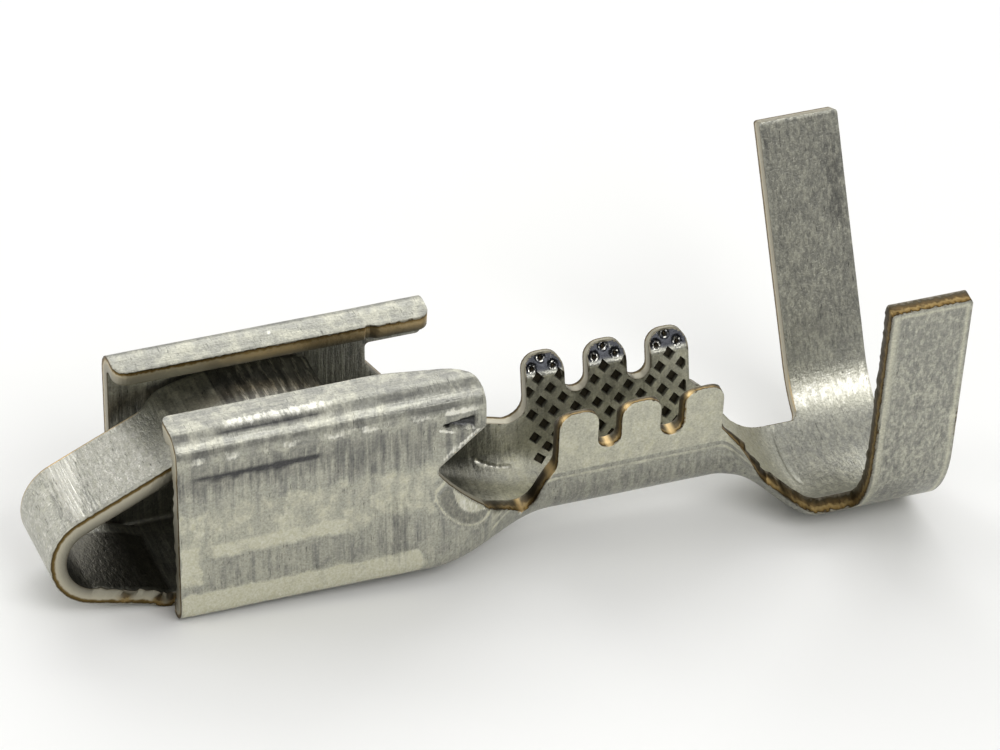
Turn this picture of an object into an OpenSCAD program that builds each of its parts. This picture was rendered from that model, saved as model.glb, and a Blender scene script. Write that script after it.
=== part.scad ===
// Female crimp terminal: one strip of tin-plated copper alloy, stamped and folded.
// From front to rear: a looped contact spring, an open-topped contact box, a neck,
// a conductor barrel with three tabs on each side, a web, and an insulation barrel with two wings.
// Lengths are millimetres. Stations x run from the tip of the loop, heights z from the underside
// of the box floor. The finished part is then set down with its lowest point at z = 0.

/* [Sheet] */
// thickness of the strip
sheet = 0.4; // [0.34:0.01:0.46]
// tip of the loop to the rear of the insulation barrel
overall_length = 21.9; // [21.2:0.1:24]

/* [Contact box] */
// outside width over the two walls
box_width = 4.32; // [4:0.02:4.8]
// underside of the floor to the top of the near roof flange
box_height = 5.15; // [4.9:0.05:5.4]
// underside of the floor to the top of the far roof flange
far_height = 5.35; // [5.1:0.05:5.6]
// station of the near wall's front edge
near_front = 2.9; // [2.6:0.05:3.1]
// station of the far wall's front edge
far_front = 2.38; // [2.2:0.02:2.6]
// outside radius of the floor bends
floor_bend = 0.5; // [0.48:0.02:0.7]
// outside radius of the roof bends
roof_bend = 0.6; // [0.5:0.05:0.8]
// outside of the near wall to the free edge of its roof flange
near_flange = 1.27; // [1.1:0.01:1.4]
// outside of the far wall to the free edge of its roof flange
far_flange = 1.1; // [1:0.01:1.4]
// how far the far flange hangs below level
far_droop = 9; // [0:1:12]
// rear end of the near roof flange
near_roof_end = 10.5; // [10:0.05:10.9]
// rear end of the far roof flange
far_roof_end = 10.2; // [9.8:0.05:10.6]
// how far the near flange's free edge draws back towards its rear
near_taper = 0.42; // [0.1:0.02:0.5]
// length over which it draws back
near_taper_run = 2.2; // [1.8:0.1:2.6]
// plan radius at the rear corner of the near flange
near_corner = 0.95; // [0.4:0.05:1.1]
// plan radius at the corners of the far flange
far_corner = 0.3; // [0.2:0.02:0.4]

/* [Rear notches] */
// station of the point of the near wall's notch
near_notch_x = 9.31; // [9.15:0.02:9.6]
// height of that point
near_notch_z = 2.95; // [2.7:0.05:3.2]
// height at which the near notch runs out at the rear of the flange
near_notch_top = 4; // [3.7:0.05:4.2]
// station of the front of the far wall's notch
far_notch_x = 8.8; // [8.6:0.05:9]
// height of the far notch's upper edge
far_notch_top = 4.28; // [4.2:0.02:4.5]
// height of the far notch's lower edge
far_notch_z = 3.7; // [3.4:0.05:3.9]

/* [Contact spring] */
// width of the floor strip and loop
spring_width = 2.5; // [2.2:0.05:2.7]
// width of the spring inside the box
spring_wide = 3.3; // [3:0.05:3.4]
// station where the spring starts to widen
widen_x = 3.15; // [3.1:0.05:3.4]
// outside radius of the loop
loop_radius = 1.25; // [1:0.05:1.4]
// outside radius of the two bends at the spring's root
root_radius = 0.7; // [0.6:0.05:0.9]
// angle at which the strip leaves the box floor
root_kick = 26; // [20:1:30]
// straight run at that angle
kick_run = 0.25; // [0.15:0.05:0.35]
// angle at which the strip then rises to the loop
root_rise = 14; // [10:1:18]
// angle at which the spring rises behind the loop
spring_rise = 25; // [20:0.5:28]
// station where the crest begins
crest_x = 3; // [2.8:0.05:3.2]
// outside radius of the crest
crest_radius = 6; // [5:0.1:7]
// angle at which the spring falls behind the crest
crest_fall = 8; // [4:1:12]
// straight tail behind the crest
spring_tail = 0.9; // [0.6:0.05:1.2]
// how far the floor's far corner reaches in front of the far wall
corner_reach = 0.45; // [0.3:0.05:0.55]
// length over which that corner runs out into the strip's edge
corner_run = 0.65; // [0.5:0.05:0.75]
// width of the slit between that corner and the foot of the far wall
far_slit = 0.1; // [0.06:0.01:0.14]
// width of the notch beside the spring's near root
root_notch = 0.24; // [0.16:0.02:0.3]
// depth of that notch behind the front edge of the floor
notch_depth = 0.14; // [0.1:0.02:0.2]

/* [Neck] */
// station where the box floor starts to narrow
neck_start = 9.25; // [9.1:0.05:9.3]
// station where the near edge's fall eases
near_knee_x = 10.13; // [10:0.01:10.3]
// height of the near edge there
near_knee_z = 1.66; // [1.55:0.01:1.8]
// station of the lowest corner of the near edge
near_low_x = 11.88; // [11.7:0.02:12]
// height of that corner
near_low_z = 0.55; // [0.5:0.01:0.7]
// station where the far edge levels off
far_knee_x = 10.9; // [10.6:0.05:11.1]
// height of the far edge behind that station
far_low_z = 1.7; // [1.5:0.05:1.85]
// height at which the edges turn up into the first tab
tab_foot = 1.76; // [1.7:0.02:1.9]

/* [Conductor barrel] */
// front end of the barrel
barrel_start = 12.6; // [12.5:0.02:12.62]
// outside radius of the barrel
barrel_radius = 1.2; // [1.1:0.01:1.4]
// lean of each wall away from upright
barrel_splay = 6.5; // [3:0.5:9]
// height of the tabs
tab_height = 3.32; // [3.1:0.02:3.6]
// centre of the first tab
first_tab = 13.12; // [13.1:0.02:13.3]
// distance from one tab to the next
tab_pitch = 1.6; // [1.5:0.02:1.7]
// width of the slot between two tabs
slot_width = 0.6; // [0.5:0.02:0.7]
// height of the slots' lowest point
slot_floor = 2.1; // [1.9:0.05:2.3]
// radius at the corners of the tabs
tab_round = 0.42; // [0.2:0.02:0.45]
// height at which the last tab runs out into the web
barrel_tail_z = 1.9; // [1.6:0.05:2.1]

/* [Knurl] */
// distance from one dent to the next along the barrel
dent_pitch = 0.56; // [0.5:0.02:0.7]
// distance from one row of dents to the next round the barrel
dent_row = 0.33; // [0.3:0.01:0.4]
// half of a dent's diagonal
dent_size = 0.16; // [0.1:0.01:0.2]
// depth of the dents
dent_depth = 0.07; // [0.04:0.01:0.1]
// bare edge between the dents and the ends of the barrel
dent_edge = 0.32; // [0.25:0.01:0.5]

/* [Web] */
// station of the narrowest part of the web
web_x = 17.9; // [17.6:0.05:18.2]
// half angle of the web's section there
web_angle = 40; // [30:1:50]
// outside radius of the web's section there
web_radius = 2.1; // [1.8:0.05:2.4]
// station where the web's floor starts to step down
step_x = 17.35; // [17.2:0.05:17.6]

/* [Insulation barrel] */
// width of the wings along the part
wing_width = 2.06; // [1.8:0.02:2.4]
// outside radius of the barrel
insulation_radius = 3.05; // [2.8:0.05:3.3]
// how far the barrel lies below the box floor
insulation_drop = 1; // [0.6:0.05:1.2]
// sideways place of the barrel's axis
insulation_offset = -0.52; // [-0.8:0.02:0]
// lean of the near wing
near_splay = 9.7; // [5:0.1:16]
// lean of the far wing
far_splay = 21.7; // [14:0.1:24]
// straight length of the near wing
near_wing = 4.9; // [4.5:0.05:6]
// straight length of the far wing
far_wing = 6.15; // [5:0.05:6.5]
// radius at the front root of each wing
wing_root = 0.25; // [0.15:0.05:0.4]
// station of the front of the barrel's floor
floor_front = 19; // [18.8:0.05:19.2]
// half angle of the barrel's floor at its front edge
floor_angle = 38; // [30:1:45]

/* [Hidden] */
// segments in one bend
BEND = 10;
// sections in one shaped transition
STEPS = 10;
// how far a transition reaches into its neighbour, and how deep it lies inside the neighbour's skin
REACH = 0.06;
SEAT = 0.012;
// how far a smooth bore takes the flats off a bend's inside
REAM = 0.006;
// anything that must pass right through a wall
THROUGH = 20;
half = box_width / 2;
bore = barrel_radius - sheet;
// straight lip along the web's edges
lip = 0.05;
tab_front = first_tab - (tab_pitch - slot_width) / 2;
barrel_end = first_tab + 2 * tab_pitch + (tab_pitch - slot_width) / 2;
wing_front = overall_length - wing_width;
axis_z = insulation_radius - insulation_drop;
near_tip = insulation_offset - insulation_radius * cos(near_splay) - near_wing * sin(near_splay);
far_tip = insulation_offset + insulation_radius * cos(far_splay) + far_wing * sin(far_splay);
// sideways place of the far flange's free edge
far_edge = half - roof_bend - (roof_bend - sheet / 2) * sin(far_droop)
    - (far_flange - roof_bend) * cos(far_droop) - sheet / 2 * sin(far_droop);
origin = [-overall_length / 2, -(near_tip + far_tip) / 2, insulation_drop];

function blend(a, b, s) = a + (b - a) * s;
function ease(s) = s * s * (3 - 2 * s);
function unit(v) = v / norm(v);
function share(x, from, to) = ease(max(0, min(1, (x - from) / (to - from))));

// A folded strip as a list of steps, each [length, radius, angle]: a straight run, then a bend.
// The radius is that of the strip's middle, and a positive angle turns to the left.
// A fourth number sets the segments of a long bend.
function walk(steps, p, a, off, i = 0) =
    i == len(steps) ? [p + off * [-sin(a), cos(a)]] :
    let (
        q = p + steps[i][0] * [cos(a), sin(a)],
        r = steps[i][1],
        turn = steps[i][2],
        way = turn < 0 ? -1 : 1,
        n = len(steps[i]) > 3 ? steps[i][3] : BEND,
        c = q + way * r * [-sin(a), cos(a)],
        e = c + way * r * [sin(a + turn), -cos(a + turn)]
    )
    concat(
        i == 0 ? [p + off * [-sin(a), cos(a)]] : [],
        turn == 0 ? [] :
            [for (k = [0 : n])
                let (b = a + turn * k / n)
                c + (way * r - off) * [sin(b), -cos(b)]],
        walk(steps, turn == 0 ? q : e, a + turn, off, i + 1)
    );

// The closed outline of such a strip.
function strip(steps, p, a, t = sheet) =
    concat(
        walk(steps, p, a, t / 2),
        let (back = walk(steps, p, a, -t / 2))
        [for (k = [len(back) - 1 : -1 : 0]) back[k]]
    );

// An outline whose corners [x, y, radius] are rounded.
function corner(a, b, c) =
    b[2] == 0 ? [[b[0], b[1]]] :
    let (
        m = [b[0], b[1]],
        u = unit([a[0], a[1]] - m),
        v = unit([c[0], c[1]] - m),
        h = acos(u * v) / 2,
        o = m + unit(u + v) * b[2] / sin(h),
        p = m + u * b[2] / tan(h) - o,
        q = m + v * b[2] / tan(h) - o,
        from = atan2(p[1], p[0]),
        raw = atan2(q[1], q[0]) - from,
        turn = raw > 180 ? raw - 360 : raw < -180 ? raw + 360 : raw
    )
    [for (k = [0 : 6]) o + b[2] * [cos(from + turn * k / 6), sin(from + turn * k / 6)]];

function rounded(pts) =
    [for (i = [0 : len(pts) - 1])
        each corner(pts[(i + len(pts) - 1) % len(pts)], pts[i], pts[(i + 1) % len(pts)])];

// Drawn as y over z and pulled along x.
module along_x(from, to) {
    translate([from, 0, 0])
        rotate([90, 0, 90])
            linear_extrude(height = to - from)
                children();
}

// Drawn as x over z and pulled across y.
module along_y(from, to) {
    translate([0, to, 0])
        rotate([90, 0, 0])
            linear_extrude(height = to - from)
                children();
}

// Joins sections with equal numbers of points, each drawn as y over z at its station.
module loft(stations, sections) {
    n = len(sections[0]);
    m = len(sections);
    polyhedron(
        points = [for (i = [0 : m - 1]) each [for (p = sections[i]) [stations[i], p[0], p[1]]]],
        faces = concat(
            [for (k = [0 : n / 2 - 2]) [n - 1 - k, n - 2 - k, k + 1, k]],
            [for (k = [0 : n / 2 - 2])
                [k, k + 1, n - 2 - k, n - 1 - k] + (m - 1) * n * [1, 1, 1, 1]],
            [for (i = [0 : m - 2]) for (k = [0 : n - 1])
                each [
                    [i * n + k, (i + 1) * n + (k + 1) % n, (i + 1) * n + k],
                    [i * n + k, i * n + (k + 1) % n, (i + 1) * n + (k + 1) % n]
                ]]
        )
    );
}

// Floor, walls and roof flanges of the box, from the near flange's edge round to the far one's.
function box_section() =
    let (
        roof = roof_bend - sheet / 2,
        base = floor_bend - sheet / 2,
        wall = box_height - roof_bend - floor_bend,
        far_wall = far_height - roof_bend - floor_bend
    )
    strip(
        [
            [near_flange - roof_bend, roof, 90],
            [wall, base, 90],
            [box_width - 2 * floor_bend, base, 90],
            [far_wall, roof, 90 + far_droop],
            [far_flange - roof_bend, 0, 0]
        ],
        [near_flange - half, box_height - sheet / 2],
        180
    );

// Channel section of the neck at share s of its length.
function neck_section(s, t) =
    let (
        k = ease(s),
        r = blend(floor_bend, barrel_radius, k),
        lean = blend(0, barrel_splay, k),
        side = blend(half - floor_bend, SEAT, k),
        mid = r - sheet / 2,
        up = near_notch_z - r,
        p = [-side - mid * cos(lean) - up * sin(lean), r - mid * sin(lean) + up * cos(lean)]
    )
    strip([[up, mid, 90 - lean], [2 * side, mid, 90 - lean], [up, 0, 0]], p, lean - 90, t);

// Trough section of the web at station x.
function web_section(x, t) =
    let (
        early = x < web_x,
        k = early ? share(x, barrel_end, web_x) : share(x, web_x, floor_front),
        r = early ? blend(barrel_radius, web_radius, k) : blend(web_radius, insulation_radius, k),
        a = early ? blend(90 - barrel_splay, web_angle, k) : blend(web_angle, floor_angle, k),
        up = early ? blend(barrel_tail_z - barrel_radius, lip, k) : lip,
        y = insulation_offset * share(x, barrel_end, floor_front),
        drop = insulation_drop * share(x, step_x, floor_front),
        mid = r - sheet / 2,
        p = [y - mid * sin(a) - up * cos(a), r - drop - mid * cos(a) + up * sin(a)]
    )
    strip([[up, mid, 2 * a], [up, 0, 0]], p, -a, t);

function barrel_section() =
    let (
        mid = barrel_radius - sheet / 2,
        up = tab_height + 0.5 - barrel_radius,
        lean = barrel_splay,
        p = [-mid * cos(lean) - up * sin(lean), barrel_radius - mid * sin(lean) + up * cos(lean)]
    )
    strip([[up, mid, 180 - 2 * lean, 2 * BEND], [up, 0, 0]], p, lean - 90);

function insulation_section() =
    let (
        mid = insulation_radius - sheet / 2,
        n = near_splay,
        p = [
            insulation_offset - mid * cos(n) - near_wing * sin(n),
            axis_z - mid * sin(n) + near_wing * cos(n)
        ]
    )
    strip([[near_wing, mid, 180 - near_splay - far_splay, 2 * BEND], [far_wing, 0, 0]], p, n - 90);

module spring() {
    r = root_rise;
    rise = spring_rise;
    root = root_radius - sheet / 2;
    loop = loop_radius - sheet / 2;
    crest = crest_radius - sheet / 2;
    lap = 0.2;
    kick = root_kick;
    back = near_front - root * (2 * sin(kick) - sin(r)) - kick_run * cos(kick);
    run = (back - loop_radius + loop * sin(r)) / cos(r);
    climb = (crest_x - loop_radius * (1 - sin(rise))) / cos(rise);
    reach = crest_x + 2 * crest_radius;
    flare = widen_x + 0.3;
    corner_x = far_front - corner_reach;
    intersection() {
        along_y(-half, half)
            polygon(strip(
                [
                    [lap, root, -kick],
                    [kick_run, root, kick - r],
                    [run, loop, rise + r - 180],
                    [climb, crest, -rise - crest_fall],
                    [spring_tail, 0, 0]
                ],
                [near_front + lap, sheet / 2],
                180
            ));
        union() {
            translate([0, 0, -THROUGH / 2])
                linear_extrude(height = THROUGH)
                    polygon(rounded([
                        [-1, -spring_width / 2, 0],
                        [widen_x, -spring_width / 2, 0.2],
                        [flare, -spring_wide / 2, 0.2],
                        [reach, -spring_wide / 2, 0],
                        [reach, spring_wide / 2, 0],
                        [flare, spring_wide / 2, 0.2],
                        [widen_x, spring_width / 2, 0.2],
                        [-1, spring_width / 2, 0]
                    ]));
            // at the far side the floor reaches forward and runs out into the strip's edge
            translate([0, 0, -2])
                linear_extrude(height = loop_radius + 2)
                    polygon(rounded([
                        [corner_x - corner_run, 0, 0],
                        [corner_x - corner_run, spring_width / 2, 0],
                        [corner_x, half - floor_bend, 0.3],
                        [near_front + lap, half - floor_bend, 0],
                        [near_front + lap, 0, 0]
                    ]));
        }
    }
}

module box() {
    difference() {
        along_x(far_front, near_roof_end)
            polygon(box_section());
        // the floor and the near side start further back than the far wall
        translate([far_front - 1, -THROUGH, -1])
            cube([near_front - far_front + 1, THROUGH + half - floor_bend, THROUGH]);
        translate([far_front - 1, 0, -1])
            cube([near_front - far_front + 1, half - floor_bend + far_slit, floor_bend + 1]);
        // a notch frees the spring's near root
        translate([0, 0, -1])
            linear_extrude(height = sheet + 2)
                polygon(rounded([
                    [near_front - 1, -spring_width / 2, 0],
                    [near_front + notch_depth, -spring_width / 2, 0.1],
                    [near_front + notch_depth, -spring_width / 2 - root_notch, 0.1],
                    [near_front - 1, -spring_width / 2 - root_notch, 0]
                ]));
        // behind the neck's start only the roof flanges go on
        translate([neck_start, -THROUGH, -1])
            cube([THROUGH, 2 * THROUGH, near_notch_z + 1]);
        // plan outline of the near flange: its free edge draws back and rounds off at the rear
        translate([0, 0, box_height - roof_bend])
            linear_extrude(height = THROUGH)
                difference() {
                    translate([near_front - 1, -half - 1])
                        square([THROUGH, near_flange + 1.3]);
                    polygon(rounded([
                        [near_front, -half - 2, 0],
                        [near_front, near_flange - half, 0.2],
                        [near_roof_end - near_taper_run, near_flange - half, 0],
                        [near_roof_end, near_flange - half - near_taper, near_corner],
                        [near_roof_end, -half - 2, 0]
                    ]));
                }
        // plan outline of the far flange
        translate([0, 0, far_notch_top])
            linear_extrude(height = THROUGH)
                difference() {
                    translate([far_front - 1, 0])
                        square([THROUGH, half + 1]);
                    polygon(rounded([
                        [far_front, far_edge, far_corner],
                        [far_front, half + 2, 0],
                        [far_roof_end, half + 2, 0],
                        [far_roof_end, far_edge, far_corner]
                    ]));
                }
    }
}

module neck() {
    span = barrel_start - neck_start;
    at = [
        neck_start - REACH,
        for (i = [0 : STEPS]) neck_start + span * i / STEPS,
        barrel_start + REACH
    ];
    skin = sheet - 2 * SEAT;
    loft(at, [
        neck_section(0, skin),
        for (i = [0 : STEPS]) neck_section(i / STEPS, i == 0 || i == STEPS ? skin : sheet),
        neck_section(1, skin)
    ]);
}

module barrel() {
    difference() {
        along_x(barrel_start, barrel_end)
            polygon(barrel_section());
        translate([barrel_start - 1, 0, barrel_radius])
            rotate([0, 90, 0])
                cylinder(h = barrel_end - barrel_start + 2, r = bore + REAM, $fn = 64);
        knurl();
    }
}

// Staggered rows of diamond dents in the barrel's inside, laid out along the strip as if it were flat.
module knurl() {
    bend = bore * (90 - barrel_splay) * PI / 180;
    flat = (tab_height - dent_edge - barrel_radius + bore * sin(barrel_splay)) / cos(barrel_splay);
    rows = floor((bend + flat) / dent_row);
    span = barrel_end - barrel_start - 2 * dent_edge;
    for (j = [-rows : rows]) {
        side = j < 0 ? -1 : 1;
        s = abs(j) * dent_row;
        turn = min(s, bend) / bore * 180 / PI;
        climb = max(0, s - bend);
        lag = abs(j) % 2 * dent_pitch / 2;
        for (i = [0 : floor((span - lag) / dent_pitch)])
            translate([
                barrel_start + dent_edge + lag + i * dent_pitch,
                side * (bore * sin(turn) + climb * cos(turn)),
                barrel_radius - bore * cos(turn) + climb * sin(turn)
            ])
                rotate([side * turn, 0, 0])
                    translate([0, 0, -dent_depth])
                        cylinder(h = 3 * dent_depth, r = dent_size, $fn = 4);
    }
}

module web() {
    span = floor_front - barrel_end;
    at = [
        barrel_end - REACH,
        for (i = [0 : STEPS]) barrel_end + span * i / STEPS,
        floor_front + REACH
    ];
    skin = sheet - 2 * SEAT;
    loft(at, [
        for (i = [0 : len(at) - 1]) web_section(at[i], i < 2 || i > STEPS ? skin : sheet)
    ]);
}

// What the side view takes out of one side between the box and its first tab: the rear notch, from
// its upper edge forward to its root, down over the knee and the low corner, and up along the tab.
function side_gap(root, knee, low, end) =
    rounded([
        [root[0], root[1], 0.12],
        [root[0], root[2], 0.12],
        knee,
        low,
        [tab_front, tab_foot, 0.45],
        [tab_front, THROUGH, 0],
        [end[0], THROUGH, 0],
        [end[0], end[1], 0.25]
    ]);

module side_cuts() {
    tab = tab_pitch - slot_width;
    top = tab_height + 1;
    along_y(-THROUGH, -0.3)
        polygon(side_gap(
            [near_notch_x, near_notch_z + 0.1, near_notch_z - 0.1],
            [near_knee_x, near_knee_z, 1.2],
            [near_low_x, near_low_z, 0.25],
            [near_roof_end, near_notch_top]
        ));
    along_y(0.3, THROUGH)
        polygon(side_gap(
            [far_notch_x, far_notch_top, far_notch_z],
            [far_knee_x, far_low_z, 0.8],
            [blend(far_knee_x, tab_front, 0.7), far_low_z, 0.2],
            [far_roof_end, far_notch_top]
        ));
    // the tabs' outline
    along_y(-THROUGH, THROUGH)
        polygon(concat(
            [
                [tab_front - 1, top + 1],
                [tab_front - 1, tab_height - tab_round],
                [tab_front, tab_height - tab_round]
            ],
            [for (i = [0 : 2])
                let (c = first_tab + i * tab_pitch)
                each concat(
                    tab_top(c, tab),
                    i < 2 ? slot_end(c + tab_pitch / 2) : []
                )],
            [[barrel_end + 1, tab_height - tab_round], [barrel_end + 1, top + 1]]
        ));
}

function tab_top(c, w) =
    [for (k = [0 : 12])
        let (
            b = 180 - 15 * k,
            side = k < 6.5 ? -1 : 1
        )
        [c + side * (w / 2 - tab_round), tab_height - tab_round] + tab_round * [cos(b), sin(b)]];

function slot_end(c) =
    [for (k = [0 : 10])
        let (b = 180 + 18 * k)
        [c + slot_width / 2 * cos(b), slot_floor + slot_width / 2 + slot_width / 2 * sin(b)]];

module insulation() {
    difference() {
        along_x(floor_front, overall_length)
            polygon(insulation_section());
        translate([floor_front - 1, insulation_offset, axis_z])
            rotate([0, 90, 0])
                cylinder(h = overall_length - floor_front + 2, r = insulation_radius - sheet + REAM, $fn = 96);
        // the wings start behind the floor's front edge, with a rounded root
        along_y(-THROUGH, THROUGH)
            polygon(rounded([
                [floor_front - 1, root_z(), 0],
                [wing_front, root_z(), wing_root],
                [wing_front, THROUGH, 0],
                [floor_front - 1, THROUGH, 0]
            ]));
    }
}

// height of the floor's edge at the front of the barrel
function root_z() = axis_z - (insulation_radius - sheet / 2) * cos(floor_angle) + lip * sin(floor_angle);

module terminal() {
    color([0.72, 0.71, 0.66])
        translate(origin) {
            spring();
            difference() {
                union() {
                    box();
                    neck();
                    barrel();
                }
                side_cuts();
            }
            web();
            insulation();
        }
}

terminal();
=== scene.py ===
# %% [markdown]
# # A female crimp terminal, folded from one punched blank
# The real piece starts as a flat strip of brass with a skin of tin. A press punches its outline, stamps
# the knurl, and then folds it: a sprung tongue looped back over the floor, a box, a narrow barrel with
# tabs for the bare wire and a wide barrel with two wings for its insulation. This lesson makes it the
# same way. A flat blank is punched, given its thickness, marked, and only then folded, so every cut edge
# and scratch lies where the press would have left it. First the measured solid is loaded. It stays fixed,
# and gives the place and size.

# %% Load the measured frame
import math

import bmesh
import bpy
from mathutils import Matrix, Vector, noise
from mathutils.kdtree import KDTree


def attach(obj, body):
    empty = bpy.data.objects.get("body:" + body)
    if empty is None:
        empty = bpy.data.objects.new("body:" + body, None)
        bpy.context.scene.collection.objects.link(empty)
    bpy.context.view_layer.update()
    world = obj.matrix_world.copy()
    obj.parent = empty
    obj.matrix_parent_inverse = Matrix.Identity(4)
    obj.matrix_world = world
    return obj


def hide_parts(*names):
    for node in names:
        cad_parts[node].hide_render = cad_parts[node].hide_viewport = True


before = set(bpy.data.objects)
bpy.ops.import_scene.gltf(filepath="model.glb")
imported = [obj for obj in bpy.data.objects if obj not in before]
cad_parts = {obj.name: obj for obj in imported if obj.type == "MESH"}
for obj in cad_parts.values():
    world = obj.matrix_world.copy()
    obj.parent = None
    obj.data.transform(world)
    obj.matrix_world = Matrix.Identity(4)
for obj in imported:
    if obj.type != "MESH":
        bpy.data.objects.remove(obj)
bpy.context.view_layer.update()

# %% [markdown]
# ## Sizes
# All sizes are millimetres. Stations run from the tip of the loop towards the wire, heights from the
# underside of the box floor. The near side is the one that faces the camera.

# %% Sizes of the folded piece
MM = 0.001
SHEET = 0.4
LENGTH = 21.9

BOX_WIDTH = 4.32
NEAR_HEIGHT = 5.15
FAR_HEIGHT = 5.35
NEAR_FRONT = 2.9
FAR_FRONT = 2.38
FLOOR_BEND = 0.5
ROOF_BEND = 0.6
NEAR_FLANGE = 1.27
FAR_FLANGE = 1.1
FAR_DROOP = math.radians(9)
NEAR_ROOF_END = 10.5
FAR_ROOF_END = 10.2
SLIT = 0.1
FLAP_DEPTH = 1.6

SPRING_HALF = 1.25
TONGUE_HALF = 1.65
WIDEN_X = 3.15
LOOP_RADIUS = 1.25
ROOT_RADIUS = 0.7
ROOT_KICK = math.radians(26)
KICK_RUN = 0.25
ROOT_RISE = math.radians(14)
SPRING_RISE = math.radians(25)
CREST_X = 3.0
CREST_RADIUS = 6.0
CREST_FALL = math.radians(8)
SPRING_TAIL = 0.9

NECK_START = 9.25
BARREL_START = 12.6
BARREL_RADIUS = 1.2
BARREL_SPLAY = math.radians(6.5)
TAB_HEIGHT = 3.32
FAR_TAB_HEIGHT = 3.35
FIRST_TAB = 13.12
TAB_PITCH = 1.6
SLOT_WIDTH = 0.6
SLOT_FLOOR = 2.1
FAR_SLOT_FLOOR = 2.26
TAIL_HEIGHT = 1.9

WEB_X = 17.9
WEB_TURN = math.radians(40)
WEB_RADIUS = 2.1
WEB_LIP = 0.05
STEP_X = 17.35
FLOOR_FRONT = 19.0
FLOOR_TURN = math.radians(38)

WING_WIDTH = 2.06
WING_ROOT = 0.25
WING_RADIUS = 3.05
WING_DROP = 1.0
WING_ASIDE = -0.52
NEAR_SPLAY = math.radians(9.7)
FAR_SPLAY = math.radians(21.7)
NEAR_WING = 4.9
FAR_WING = 6.15

HALF = BOX_WIDTH / 2
FLOOR_HALF = HALF - FLOOR_BEND
TAB_WIDTH = TAB_PITCH - SLOT_WIDTH
TAB_FRONT = FIRST_TAB - TAB_WIDTH / 2
BARREL_END = FIRST_TAB + 2 * TAB_PITCH + TAB_WIDTH / 2
WING_FRONT = LENGTH - WING_WIDTH
near_tip = WING_ASIDE - WING_RADIUS * math.cos(NEAR_SPLAY) - NEAR_WING * math.sin(NEAR_SPLAY)
far_tip = WING_ASIDE + WING_RADIUS * math.cos(FAR_SPLAY) + FAR_WING * math.sin(FAR_SPLAY)
ORIGIN = Vector((-LENGTH / 2, -(near_tip + far_tip) / 2, WING_DROP))
print("folded length", LENGTH, "mm, origin", tuple(round(c, 3) for c in ORIGIN))

# %% [markdown]
# ## How the strip is folded
# A place on the blank is a station u along the strip, a run v across it from the centre line, and a
# height w through the thickness. Folding turns that place into a point in space. Across the box and
# barrels the strip follows a section: a flat floor, a round bend, a straight wall, and in the box a
# second bend and a roof flange. In front of the box it follows one long path instead, up round the loop
# and back into the box. A modifier could bend one fold at a time, but here every fold is a short formula,
# so the whole press is one function.


# %% Sections across the strip
def ease(share):
    share = min(1.0, max(0.0, share))
    return share * share * (3 - 2 * share)


def blend(a, b, share):
    return a + (b - a) * share


def channel(run, flat, radius, turn):
    """Sideways place, height and slope at a run along half a channel: floor, bend, then leaning wall."""
    mid = radius - SHEET / 2
    angle = min(max(0.0, run - flat) / mid, turn)
    climb = max(0.0, run - flat - mid * turn)
    aside = min(run, flat) + mid * math.sin(angle) + climb * math.cos(angle)
    height = radius - mid * math.cos(angle) + climb * math.sin(angle)
    return aside, height, angle


def channel_run(height, flat, radius, turn):
    """The run at which a channel reaches a height."""
    mid = radius - SHEET / 2
    bend_top = radius - mid * math.cos(turn)
    if height < bend_top:
        return flat + mid * math.acos((radius - height) / mid)
    return flat + mid * turn + (height - bend_top) / math.sin(turn)


def wall_top(height):
    return FLOOR_HALF + (FLOOR_BEND - SHEET / 2) * math.pi / 2 + height - ROOF_BEND - FLOOR_BEND


def flange_run(height, flange, droop):
    """The run at which the roof flange ends."""
    return wall_top(height) + (ROOF_BEND - SHEET / 2) * (math.pi / 2 + droop) + flange - ROOF_BEND


def box_half(run, height, droop):
    """Half of the box: a channel whose wall bends over into a roof flange."""
    top = wall_top(height)
    if run <= top:
        return channel(run, FLOOR_HALF, FLOOR_BEND, math.pi / 2)
    mid = ROOF_BEND - SHEET / 2
    angle = min((run - top) / mid, math.pi / 2 + droop)
    level = max(0.0, run - top - mid * (math.pi / 2 + droop))
    aside = HALF - ROOF_BEND + mid * math.cos(angle) - level * math.sin(angle)
    tall = height - ROOF_BEND + mid * math.sin(angle) + level * math.cos(angle)
    return aside, tall, math.pi / 2 + angle


def neck_shape(u):
    """Floor width, bend radius and turn of the section between the box and the end of the barrel."""
    share = ease((u - NECK_START) / (BARREL_START - NECK_START))
    return (
        blend(FLOOR_HALF, 0.0, share),
        blend(FLOOR_BEND, BARREL_RADIUS, share),
        math.pi / 2 - BARREL_SPLAY * share,
    )


def web_shape(u):
    """Radius, turn, lip, sideways shift and drop of the trough between the two barrels."""
    if u < WEB_X:
        share = ease((u - BARREL_END) / (WEB_X - BARREL_END))
        radius = blend(BARREL_RADIUS, WEB_RADIUS, share)
        turn = blend(math.pi / 2 - BARREL_SPLAY, WEB_TURN, share)
        lip = blend(TAIL_HEIGHT - BARREL_RADIUS, WEB_LIP, share)
    else:
        share = ease((u - WEB_X) / (FLOOR_FRONT - WEB_X))
        radius = blend(WEB_RADIUS, WING_RADIUS, share)
        turn = blend(WEB_TURN, FLOOR_TURN, share)
        lip = WEB_LIP
    aside = WING_ASIDE * ease((u - BARREL_END) / (FLOOR_FRONT - BARREL_END))
    drop = WING_DROP * ease((u - STEP_X) / (FLOOR_FRONT - STEP_X))
    return radius, turn, lip, aside, drop


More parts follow.
